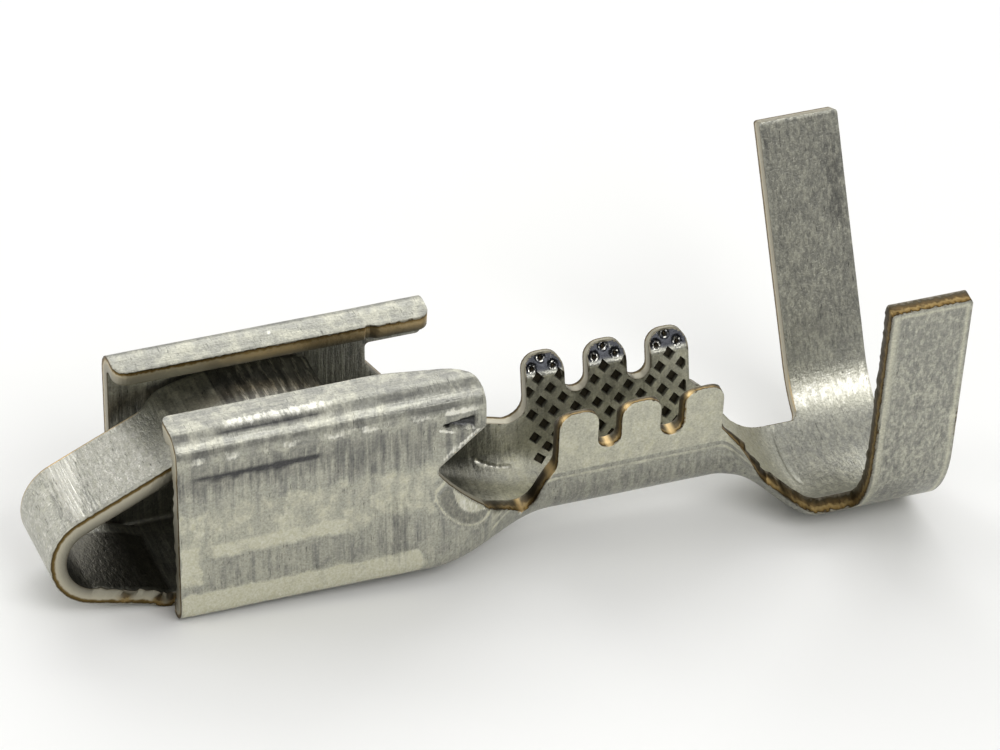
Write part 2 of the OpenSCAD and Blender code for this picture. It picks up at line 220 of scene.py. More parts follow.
# %% The spring's path
def spring_steps():
    """Straight runs and bends of the spring, each a length, a middle radius and a turn to the left."""
    root = ROOT_RADIUS - SHEET / 2
    loop = LOOP_RADIUS - SHEET / 2
    crest = CREST_RADIUS - SHEET / 2
    bends = root * (2 * math.sin(ROOT_KICK) - math.sin(ROOT_RISE))
    back = NEAR_FRONT - bends - KICK_RUN * math.cos(ROOT_KICK)
    run = (back - LOOP_RADIUS + loop * math.sin(ROOT_RISE)) / math.cos(ROOT_RISE)
    climb = (CREST_X - LOOP_RADIUS * (1 - math.sin(SPRING_RISE))) / math.cos(SPRING_RISE)
    return [
        (0.0, root, -ROOT_KICK),
        (KICK_RUN, root, ROOT_KICK - ROOT_RISE),
        (run, loop, SPRING_RISE + ROOT_RISE - math.pi),
        (climb, crest, -SPRING_RISE - CREST_FALL),
        (SPRING_TAIL, 1.0, 0.0),
    ]


STEPS = spring_steps()
SPRING_LENGTH = sum(length + radius * abs(turn) for length, radius, turn in STEPS)
LOOP_AT = sum(length + radius * abs(turn) for length, radius, turn in STEPS[:2]) + STEPS[2][0]
CLIMB_AT = LOOP_AT + STEPS[2][1] * abs(STEPS[2][2])


def spring_place(s):
    """Station, height and heading at a distance along the spring from the front of the box floor."""
    x, z, heading = NEAR_FRONT, SHEET / 2, math.pi
    for length, radius, turn in STEPS:
        step = min(s, length)
        x += step * math.cos(heading)
        z += step * math.sin(heading)
        s -= step
        arc = min(s, radius * abs(turn))
        way = math.copysign(1, turn)
        before = heading
        heading += way * arc / radius
        x += way * radius * (math.sin(heading) - math.sin(before))
        z -= way * radius * (math.cos(heading) - math.cos(before))
        s -= arc
        if s <= 0:
            break
    return x, z, heading


def fold(u, v, w):
    """Where a place of the blank lies on the folded piece. w is positive on the inside of the folds."""
    side = -1 if v < 0 else 1
    run = abs(v)
    height, droop = (NEAR_HEIGHT, 0.0) if v < 0 else (FAR_HEIGHT, FAR_DROOP)
    if u < NEAR_FRONT and run < FLOOR_HALF + SLIT / 2:
        x, z, heading = spring_place(NEAR_FRONT - u)
        return Vector((x + w * math.sin(heading), v, z - w * math.cos(heading)))
    shift, drop = 0.0, 0.0
    if u <= NECK_START or (u < NEAR_ROOF_END + SLIT and run > wall_top(NEAR_HEIGHT) - FLAP_DEPTH):
        y, z, slope = box_half(run, height, droop)
    elif u <= BARREL_END:
        y, z, slope = channel(run, *neck_shape(u))
    elif u <= FLOOR_FRONT:
        radius, turn, lip, shift, drop = web_shape(u)
        y, z, slope = channel(run, 0.0, radius, turn)
    else:
        splay = NEAR_SPLAY if v < 0 else FAR_SPLAY
        shift, drop = WING_ASIDE, WING_DROP
        y, z, slope = channel(run, 0.0, WING_RADIUS, math.pi / 2 - splay)
    return Vector((u, shift + side * (y - w * math.sin(slope)), z - drop + w * math.cos(slope)))


print("spring strip", round(SPRING_LENGTH, 2), "mm long")
print("the loop bends from", round(LOOP_AT, 2), "to", round(CLIMB_AT, 2), "mm along it")

# %% [markdown]
# ## The punched outline
# The outline of the blank is a list of corners, each with the radius that the punch gave it. On the walls
# it is easier to think in heights of the finished piece, so a small function turns a station and a height
# into a run. The two sides differ: the near wall has a slanted notch and a deep dip behind it, the far
# wall a short square one.

# %% Corners of the blank
NEAR_EDGE = flange_run(NEAR_HEIGHT, NEAR_FLANGE, 0.0)
FAR_EDGE = flange_run(FAR_HEIGHT, FAR_FLANGE, FAR_DROOP)
TAPER = 0.42
TAPER_RUN = 2.2
WIDEN_RUN = 0.4
RELIEF = 0.14
RELIEF_WIDTH = 0.24
RELIEF_MOUTH = 0.3
NOTCH_X = 9.31
NOTCH_TOP = 4.0
NOTCH_KNEE = 3.05
NOTCH_FLOOR = 2.85
GUSSET_FRONT = 2.3
GUSSET_REAR = 1.6
FOOT = 0.22
FOOT_RUN = 3.8
NICK_X = 8.56
NICK = 0.05
NICK_STEPS = (0.03, 0.14, 0.3)
FAR_NOTCH_X = 8.8
FAR_NOTCH_TOP = 4.28
FAR_NOTCH_FLOOR = 3.7
TAB_CORNER = 0.4
SLOT_CORNER = SLOT_WIDTH / 2.04
TAIL_LIFT = 0.05
WEB_STEPS = 12


def rise(u, height):
    """The run on the wall at station u and that height."""
    return channel_run(height, *neck_shape(u))


def tongue_corners():
    """From the end of the tongue to the narrow strip of the loop."""
    end = NEAR_FRONT - SPRING_LENGTH
    climb_x = spring_place(CLIMB_AT)[0]
    widen = NEAR_FRONT - CLIMB_AT - (WIDEN_X - climb_x) / math.cos(SPRING_RISE)
    return [(end, TONGUE_HALF, 0.1), (widen - WIDEN_RUN, TONGUE_HALF, 0.45), (widen, SPRING_HALF, 0.3)]


def barrel_corners(dip, top, slot_floor):
    """From the dip in the neck, as stations, heights and radii, over the tabs to the barrel's end."""
    corners = [(u, rise(u, height), radius) for u, height, radius in dip]
    for tab in range(3):
        left = TAB_FRONT + tab * TAB_PITCH
        right = left + TAB_WIDTH
        corners += [(left, rise(left, top), TAB_CORNER), (right, rise(right, top), TAB_CORNER)]
        if tab < 2:
            slot = rise(right, slot_floor)
            corners += [(right, slot, SLOT_CORNER), (right + SLOT_WIDTH, slot, SLOT_CORNER)]
    corners.append((BARREL_END, rise(BARREL_END, TAIL_HEIGHT) + TAIL_LIFT, 0.1))
    return corners


def web_corners(wing_end):
    """Along the web's edge, then round the root of the wing to its tip."""
    corners = []
    for step in range(1, WEB_STEPS + 1):
        u = BARREL_END + (FLOOR_FRONT - BARREL_END) * step / WEB_STEPS
        radius, turn, lip, aside, drop = web_shape(u)
        corners.append((u, (radius - SHEET / 2) * turn + lip, 0.0))
    root = corners[-1][1]
    return corners + [
        (WING_FRONT, root, WING_ROOT),
        (WING_FRONT, wing_end, 0.08),
        (LENGTH, wing_end, 0.1),
    ]


def wing_run(splay, straight):
    return (WING_RADIUS - SHEET / 2) * (math.pi / 2 - splay) + straight


near_side = tongue_corners() + [
    (NEAR_FRONT + RELIEF, SPRING_HALF, 0.1),
    (NEAR_FRONT + RELIEF, SPRING_HALF + RELIEF_WIDTH, 0.1),
    (NEAR_FRONT, SPRING_HALF + RELIEF_MOUTH, 0.06),
    (NEAR_FRONT, NEAR_EDGE, 0.2),
    (NEAR_ROOF_END - TAPER_RUN, NEAR_EDGE, 4.0),
    (NEAR_ROOF_END, NEAR_EDGE - TAPER, 0.95),
    (NEAR_ROOF_END, rise(NECK_START, NOTCH_TOP), 0.2),
    (NOTCH_X, rise(NECK_START, NOTCH_KNEE), 0.1),
    (NOTCH_X, rise(NECK_START, NOTCH_FLOOR), 0.1),
]
NEAR_DIP = [(10.2, 1.8, 0.8), (10.72, 1.31, 0.5), (11.88, 0.66, 0.25), (TAB_FRONT, 1.76, 0.45)]
near_side += barrel_corners(NEAR_DIP, TAB_HEIGHT, SLOT_FLOOR)
near_side += web_corners(wing_run(NEAR_SPLAY, NEAR_WING))

far_side = tongue_corners() + [
    (NEAR_FRONT - GUSSET_FRONT, SPRING_HALF, 0.3),
    (NEAR_FRONT - GUSSET_REAR, FLOOR_HALF, 0.3),
    (NEAR_FRONT, FLOOR_HALF + SLIT / 5, 0.035),
    (NEAR_FRONT, FLOOR_HALF + SLIT, 0.035),
    (FAR_FRONT - FOOT, FLOOR_HALF + SLIT, 0.1),
    (FAR_FRONT, FOOT_RUN, 0.5),
    (FAR_FRONT, FAR_EDGE, 0.35),
    (NICK_X, FAR_EDGE, 0.02),
    (NICK_X + NICK_STEPS[0], FAR_EDGE - NICK, 0.02),
    (NICK_X + NICK_STEPS[1], FAR_EDGE - NICK, 0.06),
    (NICK_X + NICK_STEPS[2], FAR_EDGE + NICK / 2, 0.3),
    (FAR_ROOF_END, FAR_EDGE + NICK / 2, 0.3),
    (FAR_ROOF_END, rise(NECK_START, FAR_NOTCH_TOP), 0.12),
    (FAR_NOTCH_X, rise(NECK_START, FAR_NOTCH_TOP), 0.12),
    (FAR_NOTCH_X, rise(NECK_START, FAR_NOTCH_FLOOR), 0.12),
]
FAR_DIP = [(10.9, 1.7, 0.8), (12.1, 1.7, 0.2), (TAB_FRONT, 1.76, 0.45)]
far_side += barrel_corners(FAR_DIP, FAR_TAB_HEIGHT, FAR_SLOT_FLOOR)
far_side += web_corners(wing_run(FAR_SPLAY, FAR_WING))


def rounded(corners, bits=6):
    """A closed outline with its corners rounded."""
    points = []
    for before, here, after in zip(corners[-1:] + corners[:-1], corners, corners[1:] + corners[:1]):
        middle = Vector(here[:2])
        if here[2] == 0:
            points.append(middle)
            continue
        to_before = (Vector(before[:2]) - middle).normalized()
        to_after = (Vector(after[:2]) - middle).normalized()
        half = to_before.angle(to_after) / 2
        centre = middle + (to_before + to_after).normalized() * here[2] / math.sin(half)
        start = middle + to_before * here[2] / math.tan(half) - centre
        turn = start.angle_signed(middle + to_after * here[2] / math.tan(half) - centre)
        for bit in range(bits + 1):
            angle = -turn * bit / bits
            cos, sin = math.cos(angle), math.sin(angle)
            points.append(centre + Vector((start.x * cos - start.y * sin, start.x * sin + start.y * cos)))
    return points


outline = rounded(
    [(u, -v, r) for u, v, r in near_side] + [(u, v, r) for u, v, r in reversed(far_side)]
)
print("outline of the blank:", len(outline), "points")

# %% [markdown]
# ## Punching the blank
# The outline becomes one face, the face is extruded to the sheet's thickness, and the rims are bevelled a
# little, because a punched edge is rolled over on one side and torn on the other. Then the slab is sliced
# by evenly spaced planes both ways, which gives it enough points to bend. Slicing the finished slab keeps
# the rim exact.

# %% Punch and bevel
EDGE_ROUND = 0.045
SNAP = 1e-6


def punch(points):
    """A slab of the sheet's thickness with the given outline and softened rims."""
    bm = bmesh.new()
    face = bm.faces.new([bm.verts.new((p.x, p.y, -SHEET / 2)) for p in points])
    top = bmesh.ops.extrude_face_region(bm, geom=[face])
    lifted = [item for item in top["geom"] if isinstance(item, bmesh.types.BMVert)]
    bmesh.ops.translate(bm, verts=lifted, vec=(0, 0, SHEET))
    bmesh.ops.recalc_face_normals(bm, faces=bm.faces)
    rim = [edge for edge in bm.edges if abs(edge.verts[0].co.z - edge.verts[1].co.z) < SNAP]
    bmesh.ops.bevel(
        bm, geom=rim, offset=EDGE_ROUND, offset_type="OFFSET", affect="EDGES",
        segments=2, profile=0.5, material=-1, clamp_overlap=True,
    )
    return bm


blank = punch(outline)
print("punched slab:", len(blank.faces), "faces")


# %% Slice it so that it can bend
GRID = 0.11
FINE = 0.055
TOUCH = 1e-5


def slice_slab(bm, direction, cuts, faces):
    """Cuts faces by parallel planes: by the middle plane first, and then each half by its own planes."""
    if not cuts or not faces:
        return
    direction = Vector(direction).normalized()
    cuts = sorted(cuts)
    middle = len(cuts) // 2
    cut = cuts[middle]
    below, above, crossing = [], [], []
    for face in faces:
        reach = [vert.co.dot(direction) for vert in face.verts]
        if max(reach) < cut + TOUCH:
            below.append(face)
        elif min(reach) > cut - TOUCH:
            above.append(face)
        else:
            crossing.append(face)
    if crossing:
        edges = list(dict.fromkeys(edge for face in crossing for edge in face.edges))
        verts = list(dict.fromkeys(vert for face in crossing for vert in face.verts))
        done = bmesh.ops.bisect_plane(
            bm, geom=verts + edges + crossing, dist=SNAP,
            plane_co=direction * cut, plane_no=direction,
        )
        for item in done["geom"]:
            if isinstance(item, bmesh.types.BMFace):
                top = max(vert.co.dot(direction) for vert in item.verts)
                (above if top > cut + TOUCH else below).append(item)
    slice_slab(bm, direction, cuts[:middle], below)
    slice_slab(bm, direction, cuts[middle + 1:], above)


def put_in_order(bm):
    """Sorts points, edges and faces by where they lie, because slicing leaves them in a chance order."""
    for items, middle in (
        (bm.verts, lambda vert: vert.co),
        (bm.edges, lambda edge: edge.verts[0].co + edge.verts[1].co),
        (bm.faces, lambda face: face.calc_center_median()),
    ):
        in_order = sorted(items, key=lambda item: tuple(middle(item)))
        ranks = {item: rank for rank, item in enumerate(in_order)}
        items.sort(key=lambda item: ranks[item])


def spaced(low, high, step):
    """Evenly spaced places between two ends, without the ends."""
    count = max(1, round((high - low) / step))
    return [low + (high - low) * i / count for i in range(1, count)]


RIBS_FROM = -5.9
floor_bend_run = (FLOOR_BEND - SHEET / 2) * math.pi / 2
roof_bend_run = (ROOF_BEND - SHEET / 2) * math.pi / 2
across = spaced(min(p.y for p in outline), max(p.y for p in outline), GRID)
for side, height in ((-1, NEAR_HEIGHT), (1, FAR_HEIGHT)):
    top = wall_top(height)
    across += [side * v for v in spaced(FLOOR_HALF, FLOOR_HALF + floor_bend_run, FINE)]
    across += [side * v for v in spaced(top, top + roof_bend_run, FINE)]
along = spaced(min(p.x for p in outline), LENGTH, GRID)
along += spaced(NEAR_FRONT - CLIMB_AT, NEAR_FRONT - LOOP_AT, FINE)
along += spaced(NEAR_FRONT - ROOT_RADIUS, NEAR_FRONT, FINE)
along += spaced(NEAR_FRONT - SPRING_LENGTH, RIBS_FROM, FINE)
for direction, cuts in (((0, 0, 1), [0.0]), ((0, 1, 0), across), ((1, 0, 0), along)):
    slice_slab(blank, direction, cuts, blank.faces)
    put_in_order(blank)
print("sliced slab:", len(blank.faces), "faces")

# %% [markdown]
# ## The knurl
# A die stamps rows of small diamond pits into the inside of the wire barrel, so that the strands can't
# slip. It is done while the strip is flat. Two families of slanted planes cut the pits' outlines into the
# slab's inner face. Then each pit is inset and pushed down, which leaves flat lands between pits with
# sloped walls. On the tips of the tabs the tool has ironed the pits almost out, so only small round
# dimples are left there.

# %% Stamp the knurl
DENT_PITCH = 0.563
DENT_ROWS = 0.632
DENT_X = 14.915
DENT_SKEW = 0.09
DENT_SHARE = 0.6
DENT_SLOPE = 0.035
DENT_DEPTH = 0.1
FIRST_COLUMN = -7
LATTICE_REACH = 12
LEAST_PIT = 0.4
KNURL_LEAD = 0.15
BORDER = 0.1
TIP = 0.5
SKIN = 1e-4


def skin_faces(side, u_low, u_high, v_low, v_high):
    """Flat faces on the inside (1) or outside (-1) of the sheet within a window of the blank."""
    found = []
    for face in blank.faces:
        middle = face.calc_center_median()
        inside = u_low < middle.x < u_high and v_low < middle.y < v_high
        if inside and middle.z * side > SHEET / 2 - SKIN:
            found.append(face)
    return found


def lattice(u, v):
    """Place on the slanted lattice, whose whole numbers are the middles of the pits."""
    x = (u - DENT_X + DENT_SKEW * v) / DENT_PITCH
    y = v / DENT_ROWS
    return x + y, x - y


def dent_of(u, v):
    """Which pit a place lies in, or None on the land between pits."""
    a, b = lattice(u, v)
    if max(abs(a - round(a)), abs(b - round(b))) > DENT_SHARE / 2:
        return None
    return round(a), round(b)


def below_tip(v):
    """Distance of a run on a tab from the tab's end."""
    return rise(FIRST_TAB, TAB_HEIGHT if v < 0 else FAR_TAB_HEIGHT) - abs(v)


def tip_share(u, v):
    """How far up a tab's coined tip a place lies: 0 at its start, 1 at the end of the tab."""
    if not TAB_FRONT - BORDER < u < BARREL_END + BORDER:
        return 0.0
    return min(1.0, max(0.0, 1 - below_tip(v) / TIP))


knurl_low = BARREL_START - KNURL_LEAD
knurl_high = BARREL_END - BORDER
tab_end = rise(FIRST_TAB, FAR_TAB_HEIGHT)
window = (knurl_low, knurl_high, -tab_end, tab_end)
for slant in (1, -1):
    direction = Vector((1 / DENT_PITCH, DENT_SKEW / DENT_PITCH + slant / DENT_ROWS, 0))
    numbers = range(-LATTICE_REACH, LATTICE_REACH + 1)
    lines = [number + side * DENT_SHARE / 2 for number in numbers for side in (-1, 1)]
    cuts = [(DENT_X / DENT_PITCH + line) / direction.length for line in lines]
    slice_slab(blank, direction, cuts, skin_faces(1, *window))
put_in_order(blank)
pits = {}
for face in skin_faces(1, *window):
    middle = face.calc_center_median()
    pit = dent_of(middle.x, middle.y)
    if pit is None or sum(pit) < FIRST_COLUMN:
        continue
    if tip_share(middle.x, (pit[0] - pit[1]) / 2 * DENT_ROWS) == 0:
        pits.setdefault(pit, []).append(face)
whole = DENT_SHARE ** 2 * DENT_PITCH * DENT_ROWS / 2
pressed = []
for faces in pits.values():
    if sum(face.calc_area() for face in faces) > LEAST_PIT * whole:
        pressed += faces
bmesh.ops.inset_region(
    blank, faces=pressed, thickness=DENT_SLOPE, depth=-DENT_DEPTH, use_even_offset=True,
)
print("knurl:", len(pits), "pits with", len(pressed), "faces pressed in")

# %% [markdown]
# ## Press marks
# The tools that held and bent the strip left their own marks: a coined oval beside the notch with a
# bright facet along the edge, a wedge-shaped dent under the roof's rear corner, a row of burrs in the
# neck, creases across the web and the near wing, and ironed dimples on the tabs. The mesh is too coarse
# for these, so small windows of the skin are sliced finer, and one function says how deep each place is
# pressed. Last, points that all but coincide are closed up, and faces of many corners are cut into
# triangles while they are still flat.

# %% Finer windows
MARK_GRID = 0.04
TOO_NEAR = 0.00015
MARKS = {
    "coined_flat": (-1, 9.2, 10.75, -4.2, -2.2),
    "roof_dent": (-1, 9.1, 10.45, -6.3, -5.3),
    "web_crease": (1, 18.9, 19.3, -0.3, 2.0),
    "wing_crease": (-1, WING_FRONT, LENGTH, -5.35, -4.65),
    "neck_burrs": (1, 11.1, 12.25, 0.75, 1.75),
}
for tab in range(3):
    for side in (-1, 1):
        left = TAB_FRONT + tab * TAB_PITCH
        ends = sorted((side * (tab_end - TIP - BORDER), side * tab_end))
        MARKS["tab_tip_%d_%d" % (tab, side)] = (1, left, left + TAB_WIDTH, *ends)
for side, u_low, u_high, v_low, v_high in MARKS.values():
    for direction, low, high in (((1, 0, 0), u_low, u_high), ((0, 1, 0), v_low, v_high)):
        skin = skin_faces(side, u_low, u_high, v_low, v_high)
        slice_slab(blank, direction, spaced(low, high, MARK_GRID), skin)
put_in_order(blank)
bmesh.ops.remove_doubles(blank, verts=blank.verts, dist=TOO_NEAR)
bmesh.ops.triangulate(blank, faces=[face for face in blank.faces if len(face.verts) > 4])
blank.verts.index_update()
print("marked slab:", len(blank.faces), "faces")

# %% Distance from the punched edge
RIM_STEP = 0.03
rim_points = []
for start, end in zip(outline, outline[1:] + outline[:1]):
    bits = max(1, round((end - start).length / RIM_STEP))
    rim_points += [start.lerp(end, bit / bits) for bit in range(bits)]
rim_tree = KDTree(len(rim_points))
for index, point in enumerate(rim_points):
    rim_tree.insert((point.x, point.y, 0.0), index)
rim_tree.balance()
flat_places = [vert.co.copy() for vert in blank.verts]
edge_distances = [rim_tree.find((place.x, place.y, 0.0))[2] for place in flat_places]
print("rim samples:", len(rim_points), "widest distance from an edge", round(max(edge_distances), 2), "mm")

# %% Shapes of the marks
EDGE_ALONG = Vector((0.622, -0.783))
EDGE_INWARD = Vector((-0.783, -0.622))
COINED_MIDDLE = (9.95, 3.2)
COINED_HALF = 0.98
COINED_REACH = 0.29
COINED_FROM = 9.2
FACET_MIDDLE = (10.12, 3.2)
FACET_HALF = 0.86
FACET = 0.25
WEDGE_X = 9.45
WEDGE_RUN = 5.85
WEDGE_LENGTH = 0.8
WEDGE_END = 1.15
DIMPLES = ((-0.04, 0.12), (-0.3, 0.33), (0.24, 0.33))
CREASE_X = 19.1
CREASE_HALF = 0.07
BURR_X = 11.23
BURR_RUN = 1.62
BURR_HALF = 0.1
WING_CREASE = 5.18


def band(value, low, high, soft):
    """1 between two limits, falling to 0 over a soft margin."""
    return ease((value - low) / soft + 0.5) * ease((high - value) / soft + 0.5)


def near(value, middle, reach):
    """1 at the middle, falling to 0 at the reach on both sides."""
    return ease(1 - abs(value - middle) / reach)


def coined(u, v):
    """How far inside the coined oval a place of the near wall lies: 1 in its middle, 0 on its rim."""
    aside = Vector((u - COINED_MIDDLE[0], -v - COINED_MIDDLE[1]))
    length = aside.dot(EDGE_ALONG) / COINED_HALF
    depth = aside.dot(EDGE_INWARD) / COINED_REACH
    return 1 - math.hypot(length, max(0.0, depth))


def facet(u, v, edge):
    """The lens-shaped facet along the edge within the coined flat: 1 on the edge, 0 at its border."""
    along = Vector((u - FACET_MIDDLE[0], -v - FACET_MIDDLE[1])).dot(EDGE_ALONG) / FACET_HALF
    if v > 0 or abs(along) > 1:
        return 0.0
    return max(0.0, 1 - edge / (FACET * max(0.01, 1 - along * along)))


def dented(u, v):
    """The wedge-shaped dent under the roof's rear corner: 1 along its middle, 0 on its rim."""
    share = (u - WEDGE_X) / WEDGE_LENGTH
    if not 0 < share < WEDGE_END:
        return 0.0
    half = 0.03 + 0.2 * share
    aside = -v - WEDGE_RUN + 0.06 * share
    return max(0.0, 1 - (aside / half) ** 2) * ease((WEDGE_END - share) / 0.3)


def dimple(u, v):
    """Distance from the middle of the nearest of the three ironed dimples on a tab's tip."""
    tab = round((u - FIRST_TAB) / TAB_PITCH)
    aside = u - FIRST_TAB - tab * TAB_PITCH
    return min(math.hypot(aside - along, below_tip(v) - below) for along, below in DIMPLES)


def crease(u, v):
    """Nearness to the curved crease across the web."""
    return near(u, CREASE_X + 0.05 * (v - 1) ** 2, CREASE_HALF) * band(v, -0.1, 1.8, 0.4)


def burr(u, v):
    """The row of small burrs inside the neck: 1 on their crest, 0 away from them."""
    beads = ease(0.6 + 1.6 * noise.noise(Vector((8 * u, 0, 5))))
    back = u - BURR_X
    row = BURR_RUN - 1.55 * back + 0.85 * back ** 2
    return near(v, row, BURR_HALF) * band(u, 11.25, 12.1, 0.1) * beads


print("marks:", ", ".join(MARKS))

# %% How deep each place is pressed
BOX_REAR = 10.8
MARKS_FROM = 9.1
COINED_DEPTH = 0.035
COINED_RIM = 0.02
WEDGE_DEPTH = 0.14
DIMPLE = 0.075
DIMPLE_DEPTH = 0.06
DIMPLE_RIM = 0.02
CREASE_DEPTH = 0.03
BURR_HEIGHT = 0.05
WING_CREASE_DEPTH = 0.02


def pressed_in(u, v, w):
    """How far the skin at a place is pushed into the sheet."""
    if abs(w) < SHEET / 2 - EDGE_ROUND:
        return 0.0
    if w > 0 and tip_share(u, v) > 0:
        away = dimple(u, v)
        rim = DIMPLE_RIM * band(away, DIMPLE, DIMPLE + 0.04, 0.04)
        return DIMPLE_DEPTH * ease((DIMPLE - away) / 0.06) - rim
    if w > 0:
        return CREASE_DEPTH * crease(u, v) - BURR_HEIGHT * burr(u, v)
    if v < 0 and MARKS_FROM < u < BOX_REAR:
        oval = coined(u, v)
        rim = COINED_RIM * near(oval, -0.08, 0.14)
        return COINED_DEPTH * ease(oval / 0.2) - rim + WEDGE_DEPTH * dented(u, v)
    if v < 0 and u > WING_FRONT:
        return WING_CREASE_DEPTH * near(-v + 0.2 * (u - 20), WING_CREASE, 0.06)
    return 0.0


depths = [pressed_in(*place) for place in flat_places]
print("deepest mark:", round(max(depths), 3), "mm")

# %% [markdown]
# ## Wear, and painted light and shade
# The plate isn't the same all over. It is rubbed bright on the loop, streaked dark below the roof bend,
# chalky low on the near wall, and darker inside the neck. Light and shade are painted into it too:
# painted highlights and glints on the loop, along the roof bend, round the dent, on the coined facet, the
# notch's edge, cut-edge corners and the far wing's bend, and painted shade inside the loop, the box and
# the knurl's pits, in the dent, on the roof bend, high on the far wing and on the barrel's underside. The
# tabs' ironed tips are painted dark for the dark room they mirror. On the roof the tools dragged along
# the strip and not across it, and the spring, the barrels and the wings are finely flecked instead of
# streaked. Where brass shows on the cut edges it has its own colour. Each of these is a soft mask on the
# mesh. Places are millimetres on the flat blank, read from the real piece, and a strength above 1
# survives the fine patterns with which the materials later break the masks up.

# %% Bright and dark places
ROOF_REAR = 10.6
RIB_PITCH = 0.26
BEND_LINE = 6.17
DARK_LINE = 5.62
SEAM_LINE = 6.6
LIP_LINE = 5.68
FAR_GLINT = (6.33, 7.15)
BARREL_SHADE = 1.85
# Places along the near cut edges that get painted glints.
PAINTED_GLINT_CORNERS = [11.68, 12.5]
PAINTED_GLINT_CORNERS += [TAB_FRONT + 0.12 + tab * TAB_PITCH for tab in range(3)]
PAINTED_GLINT_CORNERS += [BARREL_START + 1.35 + tab * TAB_PITCH for tab in range(2)]
NEAR_DARK = {
    "smears under the bend": (0.42, (6.4, 9.2, 1.2), (4.9, 5.95, 0.6)),
    "streaks low on the wall": (0.36, (7.8, 8.6, 0.4), (2.3, 4.2, 0.6)),
}
FAR_WING_DARK = {
    "smear by the rear edge": (0.5, (21.45, 21.8, 0.25), (6.6, 8.8, 0.8)),
    "front corner": (0.5, (19.8, 20.1, 0.25), (8.8, 9.4, 0.5)),
}
STRONG = 0.3
masks = {}


def lay(name, rule):
    """Works out a mask at every point of the blank."""
    masks[name] = [rule(*place, edge) for place, edge in zip(flat_places, edge_distances)]
    print(name, "points:", sum(value > STRONG for value in masks[name]))


def strongest(patches, u, run):
    """The strongest of some patches, each a strength and soft limits along and across the strip."""
    return max(
        strength * band(u, *along) * band(run, *across) for strength, along, across in patches.values()
    )


def patchy(u, v, along, across, seed, mean, swing):
    """Soft random patches between 0 and 1, so many to the millimetre along and across the strip."""
    return ease(mean + swing * noise.noise(Vector((along * u, across * v, seed))))


def spring_wear_and_highlight(u, v):
    """The loop's rubbed crest with a painted highlight over it, the paler run up to it and the ribs
    scraped across the tongue's end.
    """
    ribs = 0.5 + 0.5 * math.sin(2 * math.pi * u / RIB_PITCH + 3 * noise.noise(Vector((u, v, 1))))
    rubbed = 1.05 * band(u, -2.1 - 0.22 * v, -1.6, 0.35)
    climb = (0.48 if u < -1.5 else 0.34) * ease((u + 4.4) / 0.6)
    return max(rubbed, climb, 0.55 * ribs * ease((RIBS_FROM - u) / 0.8))


def wear_and_highlight_at(u, v, w, edge):
    """Rubbed bright metal on the loop, and painted highlights: glints along the near roof bend and on some
    corners, a streak on the roof, the dent's rims, the coined facet, the notch's edge, the far wing's
    bend, the dimples' rims and the burrs.
    """
    run = abs(v)
    # Painted highlight on the rims of the ironed dimples.
    if w > 0 and tip_share(u, v) > 0:
        return 0.8 * band(dimple(u, v), DIMPLE, DIMPLE + 0.02, 0.03) if edge > EDGE_ROUND else 0.0
    # Painted glints on corners of the near cut edges.
    if edge < EDGE_ROUND and v < 0:
        return 0.8 * max(near(u, corner, 0.14) for corner in PAINTED_GLINT_CORNERS)
    # Painted golden highlight on the far flange's cut edge, which faces down, away from the light.
    if edge < EDGE_ROUND and v > 6 and u < NECK_START + 1:
        return 0.45 * ease((u - 4) / 2) * band(w, -0.13, 0.03, 0.08)
    if w > 0:
        # Painted highlight on the far wing's bend.
        if v > 0 and u > WING_FRONT:
            return 0.72 * band(v, 2.2, 3.0, 1.0)
        # Painted highlight on the crests of the burrs in the neck.
        return 1.6 * burr(u, v)
    # The loop: rubbed bright metal with a painted highlight on its crest.
    if u < NEAR_FRONT and run < TONGUE_HALF:
        return spring_wear_and_highlight(u, v)
    # A painted glint on the far flange.
    if v > 0:
        return 0.9 * ease(1 - math.hypot(u - FAR_GLINT[0], v - FAR_GLINT[1]) / 0.12)
    # Painted highlight along the upper edge of the notch.
    if edge < 0.13 and 9.45 < u < 10.35 and 4.7 < run < 5.6:
        return 0.72
    # Painted highlights: glints along the roof bend, a streak on the roof, the two rims of the dent and
    # the coined facet.
    glints = patchy(u, v, 2.2, 5, 7, 0.4, 1.5)
    bend = 0.85 * glints * near(run, BEND_LINE, 0.14) * band(u, 3.0, 10.3, 0.6)
    streak = 0.62 * band(run, 6.66, 6.9, 0.14) * band(u, 4.2, 6.8, 0.4)
    dent = 1.1 * near(run, BEND_LINE, 0.1) * band(u, 9.45, 10.15, 0.2)
    lip = 1.1 * near(run + 0.35 * (u - 9.5), LIP_LINE, 0.07) * band(u, 9.3, 9.72, 0.1)
    bright = 0.55 * ease(facet(u, v, edge) / 0.1)
    return max(bend, streak, dent, lip, bright)


def dark_line(u, v):
    """Nearness to the long dark streak under the near roof bend."""
    width = 0.24 - 0.02 * (u - 3)
    fade = ease((u - 2.9) / 0.6) * ease((8.2 - u) / 2.6)
    return patchy(u, v, 2.5, 9, 2, 0.85, 1.1) * fade * near(abs(v), DARK_LINE + 0.03 * (u - 3.2), width)


